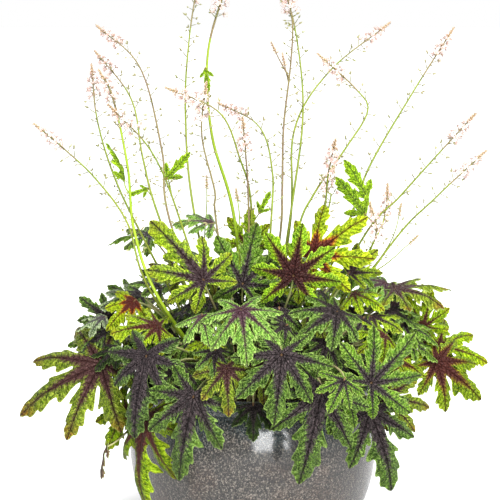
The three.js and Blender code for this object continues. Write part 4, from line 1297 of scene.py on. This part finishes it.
def stalk_material(name, low, high):
    """A stem or a small part with fine streaks and patches of two tones."""
    n = Nodes(name)
    place = n.place()
    streak = n.noise(place, 900, 2.0, 0.6)
    patch = n.noise(place, 30, 2.0, 0.5)
    share = n.ramp(streak * 0.5 + patch * 0.5, 0.35, 0.65)
    n.bump(streak, 0.4, 0.0003)
    n.set(Base_Color=n.mix(share, low, high), Roughness=0.55, Specular_IOR_Level=0.35)
    return n.material


def glaze_material():
    """A dark pewter glaze with a fine metallic speckle, browner low down and bluer under the rim."""
    n = Nodes("glaze")
    place = n.place()
    height = n.parts(place)[2]
    grain = n.noise(place, 620, 3.0, 0.8)
    patch = n.noise(place, 26, 3.0, 0.55)
    fleck = n.ramp(n.cells(place, 900, "Color"), 0.70, 0.98)
    cool = n.ramp(height, 0.100, 0.128) * n.ramp(patch, 0.34, 0.54)
    warm = n.ramp(height, 0.125, 0.085) * n.ramp(patch, 0.42, 0.66)
    colour = n.mix(cool, (56, 53, 50), (30, 60, 66))
    colour = n.mix(warm, colour, (80, 60, 48))
    # The glaze's own dark grain, with lighter grain and flecks over it.
    colour = n.mix(n.ramp(grain, 0.44, 0.54), n.mix(1.0, colour, GLAZE_DARK_GRAIN, "MULTIPLY"), colour)
    colour = n.mix(n.ramp(grain, 0.54, 0.63, 0.0, 0.9), colour, (158, 148, 136))
    colour = n.mix(fleck * 0.5, colour, (158, 148, 134))
    n.bump(grain + fleck * 0.4, 1.0, 0.0012)
    n.set(
        Base_Color=colour,
        Metallic=fleck * 0.5,
        Roughness=n.ramp(grain, 0.3, 0.75, 0.26, 0.42),
        Specular_IOR_Level=0.4,
        Coat_Weight=0.5,
        Coat_Roughness=0.14,
    )
    return n.material


def soil_material(name, dark, light):
    """Matt grains and patches of two tones."""
    n = Nodes(name)
    place = n.place()
    grain = n.noise(place, 700, 4.0, 0.7)
    patch = n.noise(place, 90, 3.0, 0.6)
    share = n.ramp(grain * 0.6 + patch * 0.4, 0.35, 0.7)
    n.bump(grain, 0.9, 0.0012)
    n.set(Base_Color=n.mix(share, dark, light), Roughness=0.95, Specular_IOR_Level=0.15)
    return n.material


MATERIALS = {f"leaf_{name}": leaf_material(name, tint) for name, tint in TINTS.items()}
MATERIALS["leaf_under"] = under_material()
MATERIALS["glaze"] = glaze_material()
for name, tones in STALKS.items():
    MATERIALS[name] = stalk_material(name, *tones)
for name, tones in SOILS.items():
    MATERIALS[name] = soil_material(name, *tones)
BUD = bud_shape()
FLOWER = flower_shape()
CAPSULE = capsule_shape()


# The stage

def aimed(name, data, location, back):
    """Puts a camera or a light in its place. It looks against the direction back."""
    made = shown(name, data)
    made.location = location
    made.rotation_mode = "QUATERNION"
    made.rotation_quaternion = (-back).to_track_quat("-Z", "Y")
    return made


def camera():
    """The camera of the front view."""
    data = bpy.data.cameras.new("camera")
    data.lens = CAMERA["lens"]
    data.sensor_width = CAMERA["sensor"]
    back = facing(0, CAMERA["elevation"])
    place = Vector(CAMERA["target"]) + back * CAMERA["distance"]
    bpy.context.scene.camera = aimed("camera", data, place, back)


def softbox(name, turn, up, distance, width, height, power):
    """A soft light that looks at the plant from degrees round from the front and degrees up."""
    data = bpy.data.lights.new(name, "AREA")
    data.shape = "RECTANGLE"
    data.size = width
    data.size_y = height
    data.energy = power
    back = facing(turn, up)
    aimed(name, data, Vector((0, 0, LIT_HEIGHT)) + back * distance, back)


def sun(name, turn, up, width, strength):
    """An even soft light from degrees round from the front and degrees up, some degrees wide."""
    data = bpy.data.lights.new(name, "SUN")
    data.angle = math.radians(width)
    data.energy = strength
    aimed(name, data, Vector(), facing(turn, up))


def surroundings():
    """White surroundings that the camera sees at full strength, though they light the plant weakly."""
    made = bpy.data.worlds.new("studio")
    made.use_nodes = True
    tree = made.node_tree
    background = tree.nodes["Background"]
    background.inputs["Color"].default_value = (1, 1, 1, 1)
    seen = tree.nodes.new("ShaderNodeLightPath")
    strength = tree.nodes.new("ShaderNodeMapRange")
    strength.inputs["To Min"].default_value = WORLD_LIGHT
    strength.inputs["To Max"].default_value = 1.0
    tree.links.new(seen.outputs["Is Camera Ray"], strength.inputs["Value"])
    tree.links.new(strength.outputs[0], background.inputs["Strength"])
    bpy.context.scene.world = made


def stage():
    """A plain pale floor in soft white studio light."""
    surroundings()
    bpy.context.scene.view_settings.view_transform = "Standard"
    sun("sun", turn=6, up=60, width=45, strength=5.3)
    softbox("key", turn=16, up=6, distance=1.7, width=0.95, height=0.46, power=40)
    softbox("back_fill", turn=180, up=40, distance=2.4, width=1.6, height=1.2, power=26)
    n = Nodes("floor")
    n.set(Base_Color=FLOOR_COLOUR, Roughness=0.8, Specular_IOR_Level=0.1)
    mesh = bpy.data.meshes.new("floor")
    corners = [(x * FLOOR_REACH, y * FLOOR_REACH, 0) for x, y in ((-1, -1), (1, -1), (1, 1), (-1, 1))]
    mesh.from_pydata(corners, [], [(0, 1, 2, 3)])
    mesh.materials.append(n.material)
    floor = shown("floor", mesh)
    floor.visible_diffuse = False


def dress(piece, node):
    """Hides the imported part of the node that a piece shows. All of them ride on the one body."""
    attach(piece, "root")
    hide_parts(node)


camera()
stage()
dress(pot_piece(), "pot")
dress(soil_piece(), "soil")
for node, piece in leaf_pieces().items():
    dress(piece, node)
for node, piece in spray_pieces().items():
    dress(piece, node)
